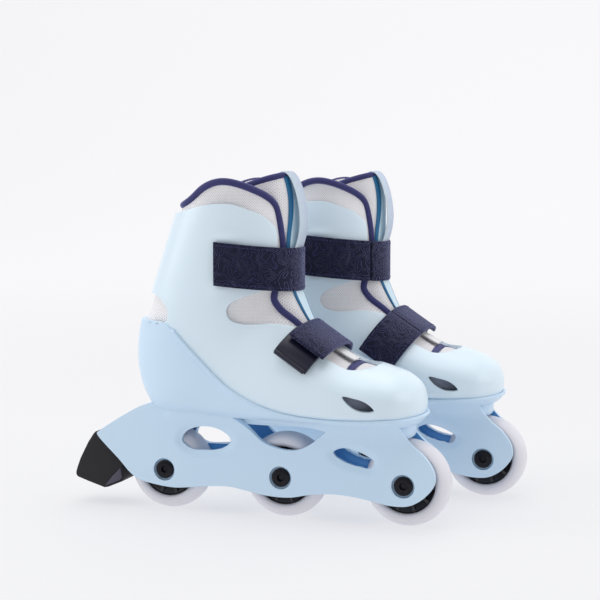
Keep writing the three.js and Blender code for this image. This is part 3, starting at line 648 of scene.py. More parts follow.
def make_shell(looks):
    bm = form_sheet(0.7, along=150, around=116)
    for vert in bm.verts:
        x, y, z = vert.co
        if abs(y) > 18 and z > 140:
            for bump_x, bump_z, long, high, rise in BUMPS:
                lift = rise * math.exp(-((x - bump_x) / long) ** 2 - ((z - bump_z) / high) ** 2)
                vert.co.y += math.copysign(lift, y)
    notch = outline_field(smooth_path(ANKLE_NOTCH, 90))
    window = outline_field(HEEL_WINDOW[:1] + [tuple(p) for p in smooth_path(HEEL_WINDOW[1:-1],
                                                                            60)] + HEEL_WINDOW[-1:])
    vent = outline_field(smooth_path(TOE_VENT, 60, closed=True))
    trim(bm, lambda co: co[:, 2] - seam_height(co[:, 0]) + 2.2)
    trim(bm, lambda co: cuff_height(co[:, 0]) - co[:, 2])
    trim(bm, throat_field)
    trim(bm, notch)
    trim(bm, window)
    trim(bm, lambda co: np.where(np.abs(co[:, 1]) > 10, vent(co), 99.0))
    thicken(bm, SHELL_WALL, rim=0.85, segments=3, around=BOOT_MIDDLE)
    return place_pair("shell", bm, "boot", ["shell"], [looks["shell"]])


# ---------------------------------------------------------------- chassis

RAIL_EDGE = [(-99, 19.5), (-80, 17.5), (-57, 20), (-38, 21), (-22, 18.5), (-8, 16.5), (7, 16.5), (22, 19.5),
             (36, 21),
             (51, 20.5), (65, 18.5), (80, 16), (93, 17), (104, 24), (110, 33), (109.5, 41), (103, 51),
             (94.5, 58),
             (89, 64), (86.5, 70), (87, 79)]
TAILED_END = [(-100, 77.5), (-108, 74.5), (-123, 66), (-138.5, 56), (-141.5, 53.5), (-139.5, 50.5),
              (-123, 34.5),
              (-116, 27), (-109, 22)]
PLAIN_END = [(-104, 78), (-109.5, 66), (-112, 55), (-111, 42), (-107, 29)]
REAR_HOLE = [(-75, 52), (-72, 58), (-64, 62), (-53, 63), (-43, 60), (-37, 54), (-43, 48.5), (-56, 46),
             (-68, 46.5)]
FRONT_HOLE = [(38, 50), (44, 53.5), (52, 53), (61, 50), (67.5, 45.5), (65, 41), (56, 41.5), (44, 45)]
ARCH_HOLE = [(-37, 73.5), (-24, 64), (-13.5, 55), (-5, 51.5), (3, 50), (11.5, 50.2), (18, 52.6), (26, 58),
             (34, 65), (20, 67.5),
             (4, 68.5), (-13, 70), (-27, 71.8), (-37, 73.5)]
RECESS_RADIUS = 8.2
SKIN_LOW, SKIN_HIGH, FLARE_LOW, FLARE_HIGH = 12.0, 78.0, 57.0, 74.5
RIM_DISH, RIM_WIDTH = 1.6, 5.0


def flare_widths(columns):
    """The half width of the boot form where the rails run into it."""
    form = form_sheet(0.0, along=80, around=72)
    tree = BVHTree.FromBMesh(form)
    widths = []
    for x in columns:
        hit = tree.ray_cast(Vector((x, -90, FLARE_HIGH)), Vector((0, 1, 0)))[0]
        widths.append(max(-hit.y if hit else RAIL_OUTER, RAIL_OUTER))
    form.free()
    smooth = np.array(widths)
    for _ in range(3):
        smooth = np.convolve(np.pad(smooth, 1, mode="edge"), (0.25, 0.5, 0.25), mode="valid")
    return smooth


def rail_skin(outline):
    columns = np.arange(-146.0, 114.0, 1.5)
    levels = np.arange(SKIN_LOW, SKIN_HIGH + 0.1, 1.5)
    widths = flare_widths(columns)
    dishes = [outline_field(smooth_path(h, 70, closed=True)) for h in (REAR_HOLE, FRONT_HOLE)]
    bm = bmesh.new()
    rows = []
    for x, width in zip(columns, widths):
        column = []
        for z in levels:
            t = min(max((z - FLARE_LOW) / (FLARE_HIGH - FLARE_LOW), 0), 1)
            y = RAIL_OUTER + (width - RAIL_OUTER) * (1 - math.sqrt(1 - t * t))
            if z > FLARE_HIGH:
                y = max(y - 1.2, RAIL_OUTER)
            column.append((x, -y, z))
        rows.append(column)
    points = np.array(rows).reshape(-1, 3)
    for dish in dishes:
        near = 1 - step(dish(points), 0.0, RIM_WIDTH)
        points[:, 1] += RIM_DISH * near
    verts = [bm.verts.new(p) for p in points]
    high = len(levels)
    for i in range(len(columns) - 1):
        for k in range(high - 1):
            a = i * high + k
            bm.faces.new((verts[a], verts[a + high], verts[a + high + 1], verts[a + 1]))
    cuts = [outline_field(smooth_path(h, 90, closed=True)) for h in (REAR_HOLE, FRONT_HOLE)]
    arch = outline_field(np.vstack([smooth_path(ARCH_HOLE[:9], 70), smooth_path(ARCH_HOLE[8:], 30)[1:]]))
    rail = outline_field(smooth_path(outline, 260))
    trim(bm, lambda co: -rail(co))
    trim(bm, arch)
    for cut in cuts:
        trim(bm, cut)
    for x in AXLES.values():
        trim(bm, lambda co, x=x: np.hypot(co[:, 0] - x, co[:, 2] - WHEEL_RADIUS) - RECESS_RADIUS)
    thicken(bm, RAIL_WALL, rim=0.8, segments=3)
    # Inner faces low in the rail take the second material, a painted shade of deeper blue for the shadowed inside of
    # the frame.
    inner = [f for f in bm.faces if f.normal.y > 0.3 and f.calc_center_median().y > -15.5 and
             f.calc_center_median().z < 62]
    return paint(bm, 1, inner)


def recess_floor(x):
    return turned([(3.9, -14.4), (8.6, -14.4), (8.6, -13.0), (3.9, -13.0)], 48, x)


TAIL_DECK = [(-98, 77.5), (-108, 74.6), (-123, 66.1), (-138.5, 56.2), (-141.6, 53.5), (-139.6, 50.4),
             (-123, 34.3),
             (-118, 32), (-119, 37), (-135, 53), (-121, 61.5), (-106, 70), (-98, 71)]
SOLE_BEAM = [(-104, 66), (80, 66), (80, 72.5), (-104, 72.5)]
NOSE_LEVELS = [(61.5, 90.5), (62.3, 91.7), (64.0, 92.3), (69.0, 92.3), (73.5, 91.0)]
NOSE_BACK, NOSE_POWER = 62.0, 2.6


def nose():
    """The rounded front wall between the rails, above the front wheel."""
    rings = []
    for z, front in NOSE_LEVELS:
        ring = []
        for k in range(64):
            angle = 2 * math.pi * k / 64
            u = math.copysign(abs(math.cos(angle)) ** (2 / NOSE_POWER), math.cos(angle))
            v = math.copysign(abs(math.sin(angle)) ** (2 / NOSE_POWER), math.sin(angle))
            ring.append(((front + NOSE_BACK) / 2 + (front - NOSE_BACK) / 2 * u, (RAIL_OUTER - 0.2) * v, z))
        rings.append(ring)
    return loft(rings, cap_start=True, cap_end=True)


def make_chassis(side, looks):
    cup = form_sheet(-0.4, along=130, around=110)
    trim(cup, lambda co: seam_height(co[:, 0]) - co[:, 2])
    beads = [tube(even_path(path, 2.2), BEAD_RADIUS, 10,
                  closed=False) for path in rim_paths(cup, lambda p: p.z < 134)]
    thicken(cup, CUP_WALL, rim=1.35, segments=4, around=BOOT_MIDDLE)
    skin = rail_skin((TAILED_END if side == BRAKED else PLAIN_END) + RAIL_EDGE)
    mirror = skin.copy()
    bmesh.ops.scale(mirror, vec=(1, -1, 1), verts=mirror.verts)
    bmesh.ops.reverse_faces(mirror, faces=mirror.faces)
    pieces = [cup, skin, mirror] + beads
    for x in AXLES.values():
        near = recess_floor(x)
        far = near.copy()
        bmesh.ops.scale(far, vec=(1, -1, 1), verts=far.verts)
        bmesh.ops.reverse_faces(far, faces=far.faces)
        pieces += [near, far]
    if side == BRAKED:
        pieces.append(side_slab(TAIL_DECK, -16.2, 16.2, 0.8, 3))
    pieces += [side_slab(SOLE_BEAM, -14.5, 14.5, 0.8, 2), nose()]
    # The second material is painted shade on the rails' inner faces.
    return place_pair("chassis", join(pieces), "boot", ["chassis"],
                      [looks["chassis"], looks["inside"]], sides=(side,))


# ---------------------------------------------------------------- liner

COLLAR_TOP = [(-130, 217), (-80, 218.5), (-70, 220), (-61, 224), (-54, 229.5), (-45, 234.3), (-35, 236.4),
              (-24, 234.4), (-14, 229.6), (-9, 226), (-6, 222.6), (-3.6, 218.6), (-1.8, 214.8), (1, 207.5),
              (3.5, 196), (6, 180), (8, 165)]
LINER_DEPTH = 4.4
LINER_WALL = 4.6
PIPING_RADIUS = 2.5
SLIT_HALVES = (15.0, 19.0, 15.5, 12.8)
LINER_FRONT = 34.0
SLIDE_LENGTH, UNDER_CLOTH = 13.0, 90.0


def slit_field(co):
    half = np.interp(co[:, 2], (140, 155, 170, 187), SLIT_HALVES)
    out = np.abs(co[:, 1]) - half
    return np.maximum(np.maximum(out, -25 - co[:, 0]), 95 - co[:, 2])


def rim_paths(bm, keep):
    """The open edges of a sheet, in order, as paths of the points that keep accepts."""
    edges = {e for e in bm.edges if e.is_boundary}
    paths = []
    while edges:
        edge = edges.pop()
        loop = [edge.verts[0], edge.verts[1]]
        while True:
            following = [e for e in loop[-1].link_edges if e in edges]
            if not following:
                break
            edges.discard(following[0])
            loop.append(following[0].other_vert(loop[-1]))
        points = [v.co.copy() for v in loop[:-1]]
        wanted = [keep(p) for p in points]
        if not any(wanted):
            continue
        start = next((i for i in range(len(points)) if not wanted[i - 1] and wanted[i]), 0)
        points = points[start:] + points[:start]
        wanted = wanted[start:] + wanted[:start]
        run = []
        for point, good in zip(points, wanted):
            if good:
                run.append(point)
            elif run:
                paths.append(run)
                run = []
        if run:
            paths.append(run)
    return [p for p in paths if len(p) > 8]


def even_path(points, spacing, rounds=6):
    """Evens out the spacing of a path and takes the corners off it."""
    for _ in range(rounds):
        points = [points[0]] + [(a + b * 2 + c) / 4 for a, b,
                                c in zip(points, points[1:], points[2:])] + [points[-1]]
    table = np.array([p[:] for p in points])
    run = np.concatenate([[0], np.cumsum(np.linalg.norm(np.diff(table, axis=0), axis=1))])
    at = np.linspace(0, run[-1], max(int(run[-1] / spacing), 4))
    return np.stack([np.interp(at, run, table[:, k]) for k in range(3)], axis=1)


def make_liner(looks):
    bm = form_sheet(LINER_DEPTH, STATIONS[4:] + COLLAR_STATIONS, along=150, around=120, cap=False)
    mark_weave(bm, around_leg)
    collar = line_height(COLLAR_TOP)
    trim(bm, lambda co: collar(co[:, 0]) - co[:, 2])
    trim(bm, slit_field)
    trim(bm, lambda co: LINER_FRONT - co[:, 0])
    piping = [tube(even_path(path, 1.4), PIPING_RADIUS, 12)
              for path in rim_paths(bm, lambda p: p.z > 112 and p.x < LINER_FRONT - 0.5)]
    thicken(bm, LINER_WALL, rim=1.6, segments=3, around=BOOT_MIDDLE)
    for pipe in piping:
        mark_weave(pipe, lambda co: (co.x, co.z + co.y, 0))
        paint(pipe, 1)
        bmesh.ops.translate(pipe, verts=pipe.verts, vec=(0, 0, 0.4))
    pieces = place_pair("liner", join([bm] + piping), "boot", ["liner"],
                        [looks["knit"], looks["piping"]])
    return pieces


TOE_EASE = 1.0


def under_cloth(co):
    """Below zero over the toes, where the sliding toe stays open under the cloth."""
    reach = CLOTH_END + 1.5 - SLIDE_LENGTH - co[:, 0]
    return -np.minimum(np.minimum(reach, CLOTH_HALF + 1.5 - np.abs(co[:, 1])), co[:, 2] - UNDER_CLOTH)


def make_liner_toe(looks):
    shifted = [(lx - SLIDE_LENGTH, lz, hx - SLIDE_LENGTH, hz, half, square, ahead) for lx, lz, hx, hz, half,
               square, ahead in STATIONS[:8]]
    bm = form_sheet(LINER_DEPTH + TOE_EASE, shifted, along=80, around=88)
    mark_weave(bm, lambda co: (abs(math.atan2(co.y, co.z - 85.0)) * 36.0, co.x, 0))
    trim(bm, lambda co: co[:, 0] - 26.0)
    trim(bm, under_cloth)
    thicken(bm, TOE_WALL, rim=0.8, around=BOOT_MIDDLE)
    # Upward faces on top take the white cloth; the rest keep the dark knit, which is painted shade on the white
    # mesh.
    upper = [f for f in bm.faces if abs(f.calc_center_median().y) < 26 and f.normal.z > 0.25]
    paint(bm, 1, upper)
    pieces = place_pair("liner_toe", bm, "size_slider", ["liner_toe"],
                        [looks["shaded_toe_knit"], looks["toe_cloth"]])
    return pieces


def make_insole(looks):
    rings = []
    form = form_sheet(LINER_DEPTH + LINER_WALL + 0.8, along=90, around=72)
    tree = BVHTree.FromBMesh(form)
    for z in (79.3, 82.5):
        ring = []
        for k in range(72):
            angle = 2 * math.pi * k / 72
            way = Vector((math.cos(angle), math.sin(angle), 0))
            hit = tree.ray_cast(Vector((-30, 0, z)), way)[0] or Vector((-30, 0, z))
            if hit.x > 28:
                hit = Vector((-30, 0, z)) + way * (58 / way.x)
            ring.append(hit)
        rings.append(ring)
    form.free()
    bm = loft(rings, cap_start=True, cap_end=True)
    round_edges(bm, 0.8)
    pieces = place_pair("insole", bm, "boot", ["insole"], [looks["foam"]])
    return pieces


# ---------------------------------------------------------------- tongue

# Half sections of the tongue, from its ridge to its edge, at three heights.
TONGUE_SECTIONS = [
    (140.0, [(18, 0), (17.5, 5), (15, 9.5), (11, 12.5), (7, 14)]),
    (155.0, [(11, 0), (10.5, 6), (8.5, 11), (4.5, 14.7), (-1.5, 17.3), (-8, 19.4)]),
    (200.0, [(8.8, 0), (8.3, 5), (6.3, 9.5), (2.3, 12.4), (-3, 13.4), (-9, 14.6), (-16, 18.3), (-23, 22.3)]),
]
TONGUE_FRONT = [(23, 133), (18, 140), (11, 155), (7.7, 165), (6.2, 179), (6.4, 192), (6.7, 200), (6.6, 213),
                (5.4, 226),
                (3.4, 235), (0.8, 243)]
TONGUE_WALL = 4.4
SECTION_PATHS = [even_path([Vector((x, y, 0)) for x, y in smooth_path(points, 60)], 0.5, rounds=1)
                 for _, points in TONGUE_SECTIONS]
front_line = smooth_path(TONGUE_FRONT, 80)


def tongue_point(s, z, lift=0.0):
    """A point on the tongue's front: s runs from -1 on the outer edge to 1 on the inner one."""
    spots = []
    for path in SECTION_PATHS:
        at = abs(s) * (len(path) - 1)
        x, y = (np.interp(at, range(len(path)), path[:, k]) for k in (0, 1))
        spots.append((x - path[0][0], y))
    heights = [height for height, _ in TONGUE_SECTIONS]
    back, aside = (np.interp(z, heights, [spot[k] for spot in spots]) for k in (0, 1))
    x = np.interp(z, front_line[:, 1], front_line[:, 0]) + back
    turn = abs(s) * 1.35
    return Vector((x + lift * math.cos(turn), math.copysign(aside + lift * math.sin(turn), s), z))


def tongue_top(s):
    return 241.0 - 10.0 * abs(s) ** 1.6


def shield_share(z):
    return 0.27 - 0.15 * float(step(z, 184, 238))


def tongue_sheet(low, share, lift, top_drop, across=44, along=56):
    rows = []
    for i in range(across + 1):
        side = 2 * i / across - 1
        top = tongue_top(side * share(240)) - top_drop
        heights = [low + (top - low) * k / along for k in range(along + 1)]
        rows.append([tongue_point(side * share(z), z, lift) for z in heights])
    return loft(rows, closed=False)



def make_tongue(looks):
    bm = tongue_sheet(133.0, lambda z: 1.0, 0.0, 0.0)
    mark_weave(bm, lambda co: (math.copysign(math.hypot(co.y, max(9.0 - co.x, 0.0) * 0.8), co.y), co.z, 0))
    thicken(bm, TONGUE_WALL, rim=1.6, segments=3)
    shield = tongue_sheet(133.0, shield_share, 0.9, 0.6, across=24)
    mark_weave(shield, lambda co: (co.y, co.z, 0))
    thicken(shield, 1.6, rim=0.5)
    paint(shield, 1)
    pieces = [bm, shield]
    # A dark blue-green strip along each edge of the shield: painted shade for the shield's side wall in shadow.
    for sign in (-1, 1):
        rows = []
        for z in np.linspace(134, tongue_top(shield_share(240)) - 0.8, 60):
            wide = 0.07 + 0.05 * float(step(z, 195, 240))
            rows.append([tongue_point(sign * (shield_share(z) - 0.02 + wide * k / 6), z,
                                      1.15) for k in range(7)])
        edge = loft(rows, closed=False)
        mark_weave(edge, lambda co: (co.y, co.z, 0))
        thicken(edge, 1.3, rim=0.45)
        pieces.append(paint(edge, 2))
    rim = [tongue_point(s, tongue_top(s) + 0.4, -1.2) for s in np.linspace(-1, 1, 70)]
    low_ends = [tongue_point(-1, z, -1.2) for z in np.linspace(206, tongue_top(1) - 1, 14)]
    pipe = paint(tube(low_ends + rim + [Vector((p.x, -p.y, p.z)) for p in reversed(low_ends)], 2.3, 12), 3)
    mark_weave(pipe, lambda co: (co.x, co.z + co.y, 0))
    pieces.append(pipe)
    made = place_pair("tongue", join(pieces), "tongue_body", ["tongue"],
                      [looks["knit"], looks["shield"], looks["edge_shade"], looks["piping"]])
    return made


PULL_PATH = [(8.3, 189), (10.0, 194), (12.0, 203), (12.4, 211), (11.2, 222), (8.6, 232), (5.2, 239.5),
             (1.2, 243.4),
             (-3, 243), (-5.2, 238)]


def make_pull(looks):
    path = [(x, 0, z) for x, z in smooth_path(PULL_PATH, 48)]
    bm = band(path, (0, 1, 0), 8.5, 1.0, rim=0.4, rounding=2)
    made = place_pair("tongue_pull", bm, "tongue_body", ["tongue_pull"], [looks["ribbon"]])
    return made


# ---------------------------------------------------------------- straps

STRAP_THICKNESS = 2.4
CUFF_Z, CUFF_FALL, CUFF_HALF = 181.1, 0.1, 15.0
CUFF_CENTRE, CUFF_LONG, CUFF_WIDE = -43.5, 54.6, 42.2
CUFF_HINGE, CUFF_FLAP_END, CUFF_ANCHOR_END = 0.56, 1.5, 1.62
FORE_RIDGE = Vector((31, 0, 133))
FORE_ALONG = Vector((24, 0, -16)).normalized()
FORE_UP = Vector((16, 0, 24)).normalized()
FORE_HALF = 14.4
FORE_FLAP = [(-40.2, -7.2), (-36, -4.9), (-30.5, -2.9), (-22, -1.2), (-11, -0.2), (0, 0), (10, -0.5),
             (18, -2)]
FORE_ANCHOR = [(18.4, -2.2), (25, -4.1), (31, -7), (37.6, -11.8), (42.8, -19), (45.9, -27), (46.4, -34)]
HOOK_PATH = [(-44.3, -23), (-43.7, -21), (-42.2, -17.5), (-37.2, -11.8), (-29, -6.5), (-23, -4.3)]
HOOK_SHIFT = -3.0


def cuff_path(start, end, count=64):
    path = []
    for angle in np.linspace(start, end, count):
        reach = CUFF_LONG * math.cos(angle)
        path.append((CUFF_CENTRE + reach, CUFF_WIDE * math.sin(angle), CUFF_Z - CUFF_FALL * reach))
    return path


def sloped_path(points, shift=0.0, count=56):
    return [FORE_RIDGE + FORE_ALONG * shift + Vector((0, y, 0)) + FORE_UP * n
            for y, n in smooth_path(points, count)]


def stitch_rows(path, across, half, every=2.6, inset=2.2, length=1.7):
    """A row of short raised stitches near each long edge of a strap."""
    across = Vector(across).normalized()
    points = [Vector(p) for p in path]
    run = [0.0]
    for a, b in zip(points, points[1:]):
        run.append(run[-1] + (b - a).length)
    table = np.array([p[:] for p in points])
    pieces = []
    for side in (-1, 1):
        for at in np.arange(3.0, run[-1] - 3.0, every):
            ends = [Vector([np.interp(at + e * length / 2, run,
                                      table[:, k]) for k in range(3)]) for e in (-1, 1)]
            way = (ends[1] - ends[0]).normalized()
            out = across.cross(way).normalized()
            shift = across * side * (half - inset) + out * 0.02
            pieces.append(tube([ends[0] + shift, (ends[0] + ends[1]) / 2 + shift + out * 0.12,
                                ends[1] + shift],
                               0.22, 5))
    return pieces


def strap_slab(path, across, half, thickness=STRAP_THICKNESS, stitched=True):
    pieces = [band(path, across, half, thickness, rim=0.7)]
    if stitched:
        for stitch in stitch_rows(path, across, half):
            mark_weave(stitch, lambda co: (0, 0, 0))
            pieces.append(paint(stitch, 1))
    return join(pieces)


def make_straps(looks):
    cloth = [looks["webbing"], looks["piping"]]
    flap = strap_slab(cuff_path(-CUFF_FLAP_END, CUFF_HINGE - 0.02, 80), (0, 0, -1), CUFF_HALF)
    place_pair("cuff_strap", flap, "cuff_flap", ["cuff_strap"], cloth)
    anchor = strap_slab(cuff_path(CUFF_HINGE + 0.005, CUFF_ANCHOR_END, 44), (0, 0, -1), CUFF_HALF)
    place_pair("cuff_strap_anchor", anchor, "boot", ["cuff_strap_anchor"],
                            cloth)
    flap = strap_slab(sloped_path(FORE_FLAP), FORE_ALONG, FORE_HALF)
    place_pair("forefoot_strap", flap, "forefoot_flap", ["forefoot_strap"],
                            cloth)
    anchor = strap_slab(sloped_path(FORE_ANCHOR), FORE_ALONG, FORE_HALF)
    place_pair("forefoot_strap_anchor", anchor, "boot", ["forefoot_strap_anchor"],
                            cloth)
    tab = strap_slab(sloped_path(HOOK_PATH, HOOK_SHIFT), FORE_ALONG, FORE_HALF - 1, stitched=False)
    lip_at = Vector(sloped_path(HOOK_PATH, HOOK_SHIFT)[4])
    lip = tube([lip_at + FORE_ALONG * w + Vector((0, -0.6, 0.2)) for w in np.linspace(-12.2, 12.2, 20)],
               1.7, 12)
    mark_weave(lip, lambda co: (0, 0, 0))
    place_pair("hook_tab", join([tab, lip]), "boot", ["hook_tab"], [looks["hook"]])


# ---------------------------------------------------------------- size tape

TAPE_PATH = [(34.6, 121.2), (37.5, 120.4), (41, 118.9), (45, 116.6), (51, 113.6)]
TAPE_HALF, TAPE_MIDDLE = 8.0, -1.0
CLOTH_DROP, CLOTH_HALF, CLOTH_START, CLOTH_END = 4.6, 30.0, 31.0, 71.0
TOOTH_START, TOOTH_ROOT, TOOTH_REACH, TOOTH_PITCH, TOOTH_HALF = 49.5, 53.0, 2.0, 2.7, 28.35


def on_path(points, half, thickness, rim=0.25, count=30):
    """A flat band in the XZ plane along a path."""
    return band([(x, 0, z) for x, z in smooth_path(points, count)], (0, 1, 0), half, thickness, rim=rim,
                rounding=2)


def make_tape(looks):
    pieces = [on_path(TAPE_PATH, TAPE_HALF - 1.5, 0.8)]
    for side in (-1, 1):
        fold = on_path(TAPE_PATH, 1.1, 0.9)
        bmesh.ops.translate(fold, verts=fold.verts, vec=(0, side * (TAPE_HALF - 1.0), -0.35))
        pieces.append(paint(fold, 1))
    ends = smooth_path(TAPE_PATH, 60)
    for at in (30, 50):
        (x, z), (x2, z2) = ends[at], ends[at + 2]
        way = Vector((x2 - x, 0, z2 - z)).normalized()
        middle = Vector((x, -1.2, z)) + Vector((-way.z, 0, way.x)) * 0.02
        tick = band([middle - way * 0.35, middle + way * 0.35], (0, 1, 0), 1.9, 0.3, rim=0.1, rounding=1)
        pieces.append(paint(tick, 2))
    tape = join(pieces)
    bmesh.ops.translate(tape, verts=tape.verts, vec=(0, TAPE_MIDDLE, 0))
    pieces = place_pair("size_tape", tape, "size_slider", ["size_tape"],
                        [looks["tape"], looks["fold"], looks["rubber"]])
    return pieces


def draped_grid(form_tree, columns, rows, drop):
    """Points on the top of the boot form, lowered a little, over a grid of places."""
    points = []
    for y in rows:
        line = []
        for x in columns:
            hit = form_tree.ray_cast(Vector((x, y, 200)), Vector((0, 0, -1)))[0]
            line.append((x, y, hit.z - drop))
        points.append(line)
    return points


def make_throat_cloth(looks):
    """The cloth that closes the slit over the toes, with a saw-toothed band across it."""
    form = form_sheet(0.0, along=100, around=96)
    form_tree = BVHTree.FromBMesh(form)
    form.free()
    rows = np.linspace(-CLOTH_HALF, CLOTH_HALF, 41)
    cloth = loft(draped_grid(form_tree, np.linspace(CLOTH_START, CLOTH_END, 37), rows, CLOTH_DROP),
                 closed=False)
    mark_weave(cloth, lambda co: (co.x, co.y, 0))
    thicken(cloth, 1.0, around=BOOT_MIDDLE)
    lines = []
    for y in np.arange(-TOOTH_HALF, TOOTH_HALF + 0.01, TOOTH_PITCH / 2):
        tip = TOOTH_ROOT + (TOOTH_REACH if round(2 * (y + TOOTH_HALF) / TOOTH_PITCH) % 2 else 0.0)
        lines += draped_grid(form_tree, np.linspace(TOOTH_START, tip, 6), [y], CLOTH_DROP - 0.5)
    teeth = loft(lines, closed=False)
    mark_weave(teeth, lambda co: (co.x, co.y, 0))
    thicken(teeth, 0.5, around=BOOT_MIDDLE)
    pieces = place_pair("throat_cloth", join([cloth, paint(teeth, 1)]), "boot", [],
                        [looks["toe_cloth"], looks["piping"]])
    return pieces


# ---------------------------------------------------------------- wheels and brake

TYRE_PROFILE = [(20.6, -8.8), (21.4, -10.2), (23.2, -11.2), (25.2, -11.3), (27.0, -10.1), (28.6, -7.9),
                (29.5, -5.2),
                (30.0, -2.2), (30.0, 2.2), (29.5, 5.2), (28.6, 7.9), (27.0, 10.1), (25.2, 11.3), (23.2, 11.2),
                (21.4, 10.2), (20.6, 8.8), (20.6, -8.8)]
HUB_HALF = [(11.2, 5.0), (11.2, 11.6), (11.7, 12.0), (13.4, 12.0), (13.8, 11.5), (14.4, 6.6), (17.2, 7.2),
            (19.6, 8.3), (20.0, 9.3), (20.4, 8.8)]
BEARING_HALF = [(6.6, 5.3), (10.7, 5.3), (10.9, 5.6), (10.9, 11.9), (10.6, 12.2), (9.6, 12.2), (9.3, 11.7),
                (6.3, 11.7), (6.0, 12.2), (4.6, 12.2), (4.3, 11.9)]
SPOKES = 10


def both_halves(half):
    whole = half + [(r, -y) for r, y in reversed(half)]
    return whole + whole[:1]


def smooth_profile(profile, count):
    return [tuple(p) for p in smooth_path(profile, count)]


def make_wheels(looks):
    for name, x in AXLES.items():
        wheel = f"{name}_wheel"
        tyre = turned(smooth_profile(TYRE_PROFILE[:-1], 46) + [TYRE_PROFILE[0]], 96, x)
        place_pair(f"{name}_tyre", tyre, wheel, [f"{name}_tyre"], [looks["tyre"]],
                   angle=math.radians(50))
        hub = turned(both_halves(HUB_HALF), 64, x)
        pieces = [hub]
        for k in range(SPOKES):
            angle = 2 * math.pi * k / SPOKES
            for low in (6.0, -8.6):
                rib = side_slab([(13.9, -0.9), (19.8, -1.3), (19.8, 1.3), (13.9, 0.9)], low, low + 2.6,
                                0.25, 2)
                bmesh.ops.rotate(rib, verts=rib.verts, cent=(0, 0, 0), matrix=Matrix.Rotation(angle, 3, "Y"))
                bmesh.ops.translate(rib, verts=rib.verts, vec=(x, 0, WHEEL_RADIUS))
                pieces.append(rib)
        place_pair(f"{name}_hub", join(pieces), wheel, [f"{name}_hub"], [looks["hub"]],
                   angle=math.radians(35))
        place_pair(f"{name}_bearings", turned(both_halves(BEARING_HALF), 48, x), wheel, [f"{name}_bearings"],
                   [looks["bearing"]], angle=math.radians(35))


BOLT_PROFILE = [(0, -14.9), (2.1, -14.9), (2.3, -16.5), (2.7, -16.9), (5.7, -16.9), (6.35, -16.6),
                (6.7, -16.0),
                (6.7, -14.7), (3.9, -14.7), (3.9, 9.7), (0, 9.7)]
NUT_PROFILE = [(0, 10.0), (3.9, 10.0), (3.9, 14.7), (6.7, 14.7), (6.7, 16.0), (6.35, 16.6), (5.7, 16.9),
               (2.7, 16.9), (2.3, 16.5), (2.1, 14.9), (0, 14.9)]
STUDS = 6


def with_studs(bm, x, face):
    """Small raised dots around the socket of a bolt head."""
    pieces = [bm]
    for k in range(STUDS):
        angle = 2 * math.pi * (k + 0.5) / STUDS
        stud = bmesh.new()
        bmesh.ops.create_uvsphere(stud, u_segments=10, v_segments=6, radius=0.45)
        bmesh.ops.translate(stud, verts=stud.verts,
                            vec=(x + 4.4 * math.cos(angle), face, WHEEL_RADIUS + 4.4 * math.sin(angle)))
        pieces.append(stud)
    return join(pieces)


def make_bolts(looks):
    for name, x in AXLES.items():
        for part, profile, face in (("axle_bolt", BOLT_PROFILE, -16.9), ("axle_nut", NUT_PROFILE, 16.9)):
            bm = with_studs(turned(profile, 40, x), x, face)
            place_pair(f"{name}_{part}", bm, "boot", [f"{name}_{part}"], [looks["steel"]],
                       angle=math.radians(40))


BRAKE_OUTLINE = [(-142.2, 54.4), (-143.8, 54.0), (-145.4, 52.4), (-149.6, 46.2), (-153, 39.8), (-156.2, 33.6),
                 (-158.6, 27.4), (-159.9, 23.4), (-160, 21.4), (-158.8, 19.6), (-150, 16.7), (-137, 12.9),
                 (-134, 13.5),
                 (-123, 18.2), (-121.4, 20), (-121, 22), (-122.3, 32.6)]
BRAKE_HALF = 15.0
SCREW_RINGS = [(-6, 2.1), (10, 2.1), (10, 3.8), (12.5, 3.8), (13, 3.3)]


def make_brake(looks):
    pieces = [side_slab(BRAKE_OUTLINE, -BRAKE_HALF, BRAKE_HALF, 1.6, 4)]
    for side in (-1, 1):
        wear = side_slab([(-136.5, 14.2), (-124.5, 19.3), (-122.4, 21.4), (-123.6, 28.5), (-130.5, 21.5)],
                         side * BRAKE_HALF - 0.6, side * BRAKE_HALF + 0.6, 0.5, 2)
        pieces.append(paint(wear, 1))
    place_pair("brake_pad", join(pieces), "boot", ["brake_pad"],
               [looks["rubber"], looks["wear"]], angle=math.radians(40), sides=(BRAKED,))
    top, foot = Vector((-141, 0, 54)), Vector((-122.5, 0, 33.5))
    down = (foot - top).normalized()
    out, side = Vector((down.z, 0, -down.x)), Vector((0, 1, 0))
    up = out.cross(side)
    rings = [[top.lerp(foot, 0.5) + out * distance + radius * (math.cos(a) * side + math.sin(a) * up)
              for a in np.linspace(0, 2 * math.pi, 32, endpoint=False)] for distance, radius in SCREW_RINGS]
    place_pair("brake_screw", loft(rings, cap_start=True, cap_end=True), "boot", ["brake_screw"],
               [looks["steel"]], angle=math.radians(40), sides=(BRAKED,))


# ---------------------------------------------------------------- floor, light and camera

PAPER_NEAR = (0.605, 0.615, 0.655)
PAPER_FAR = (0.745, 0.745, 0.775)


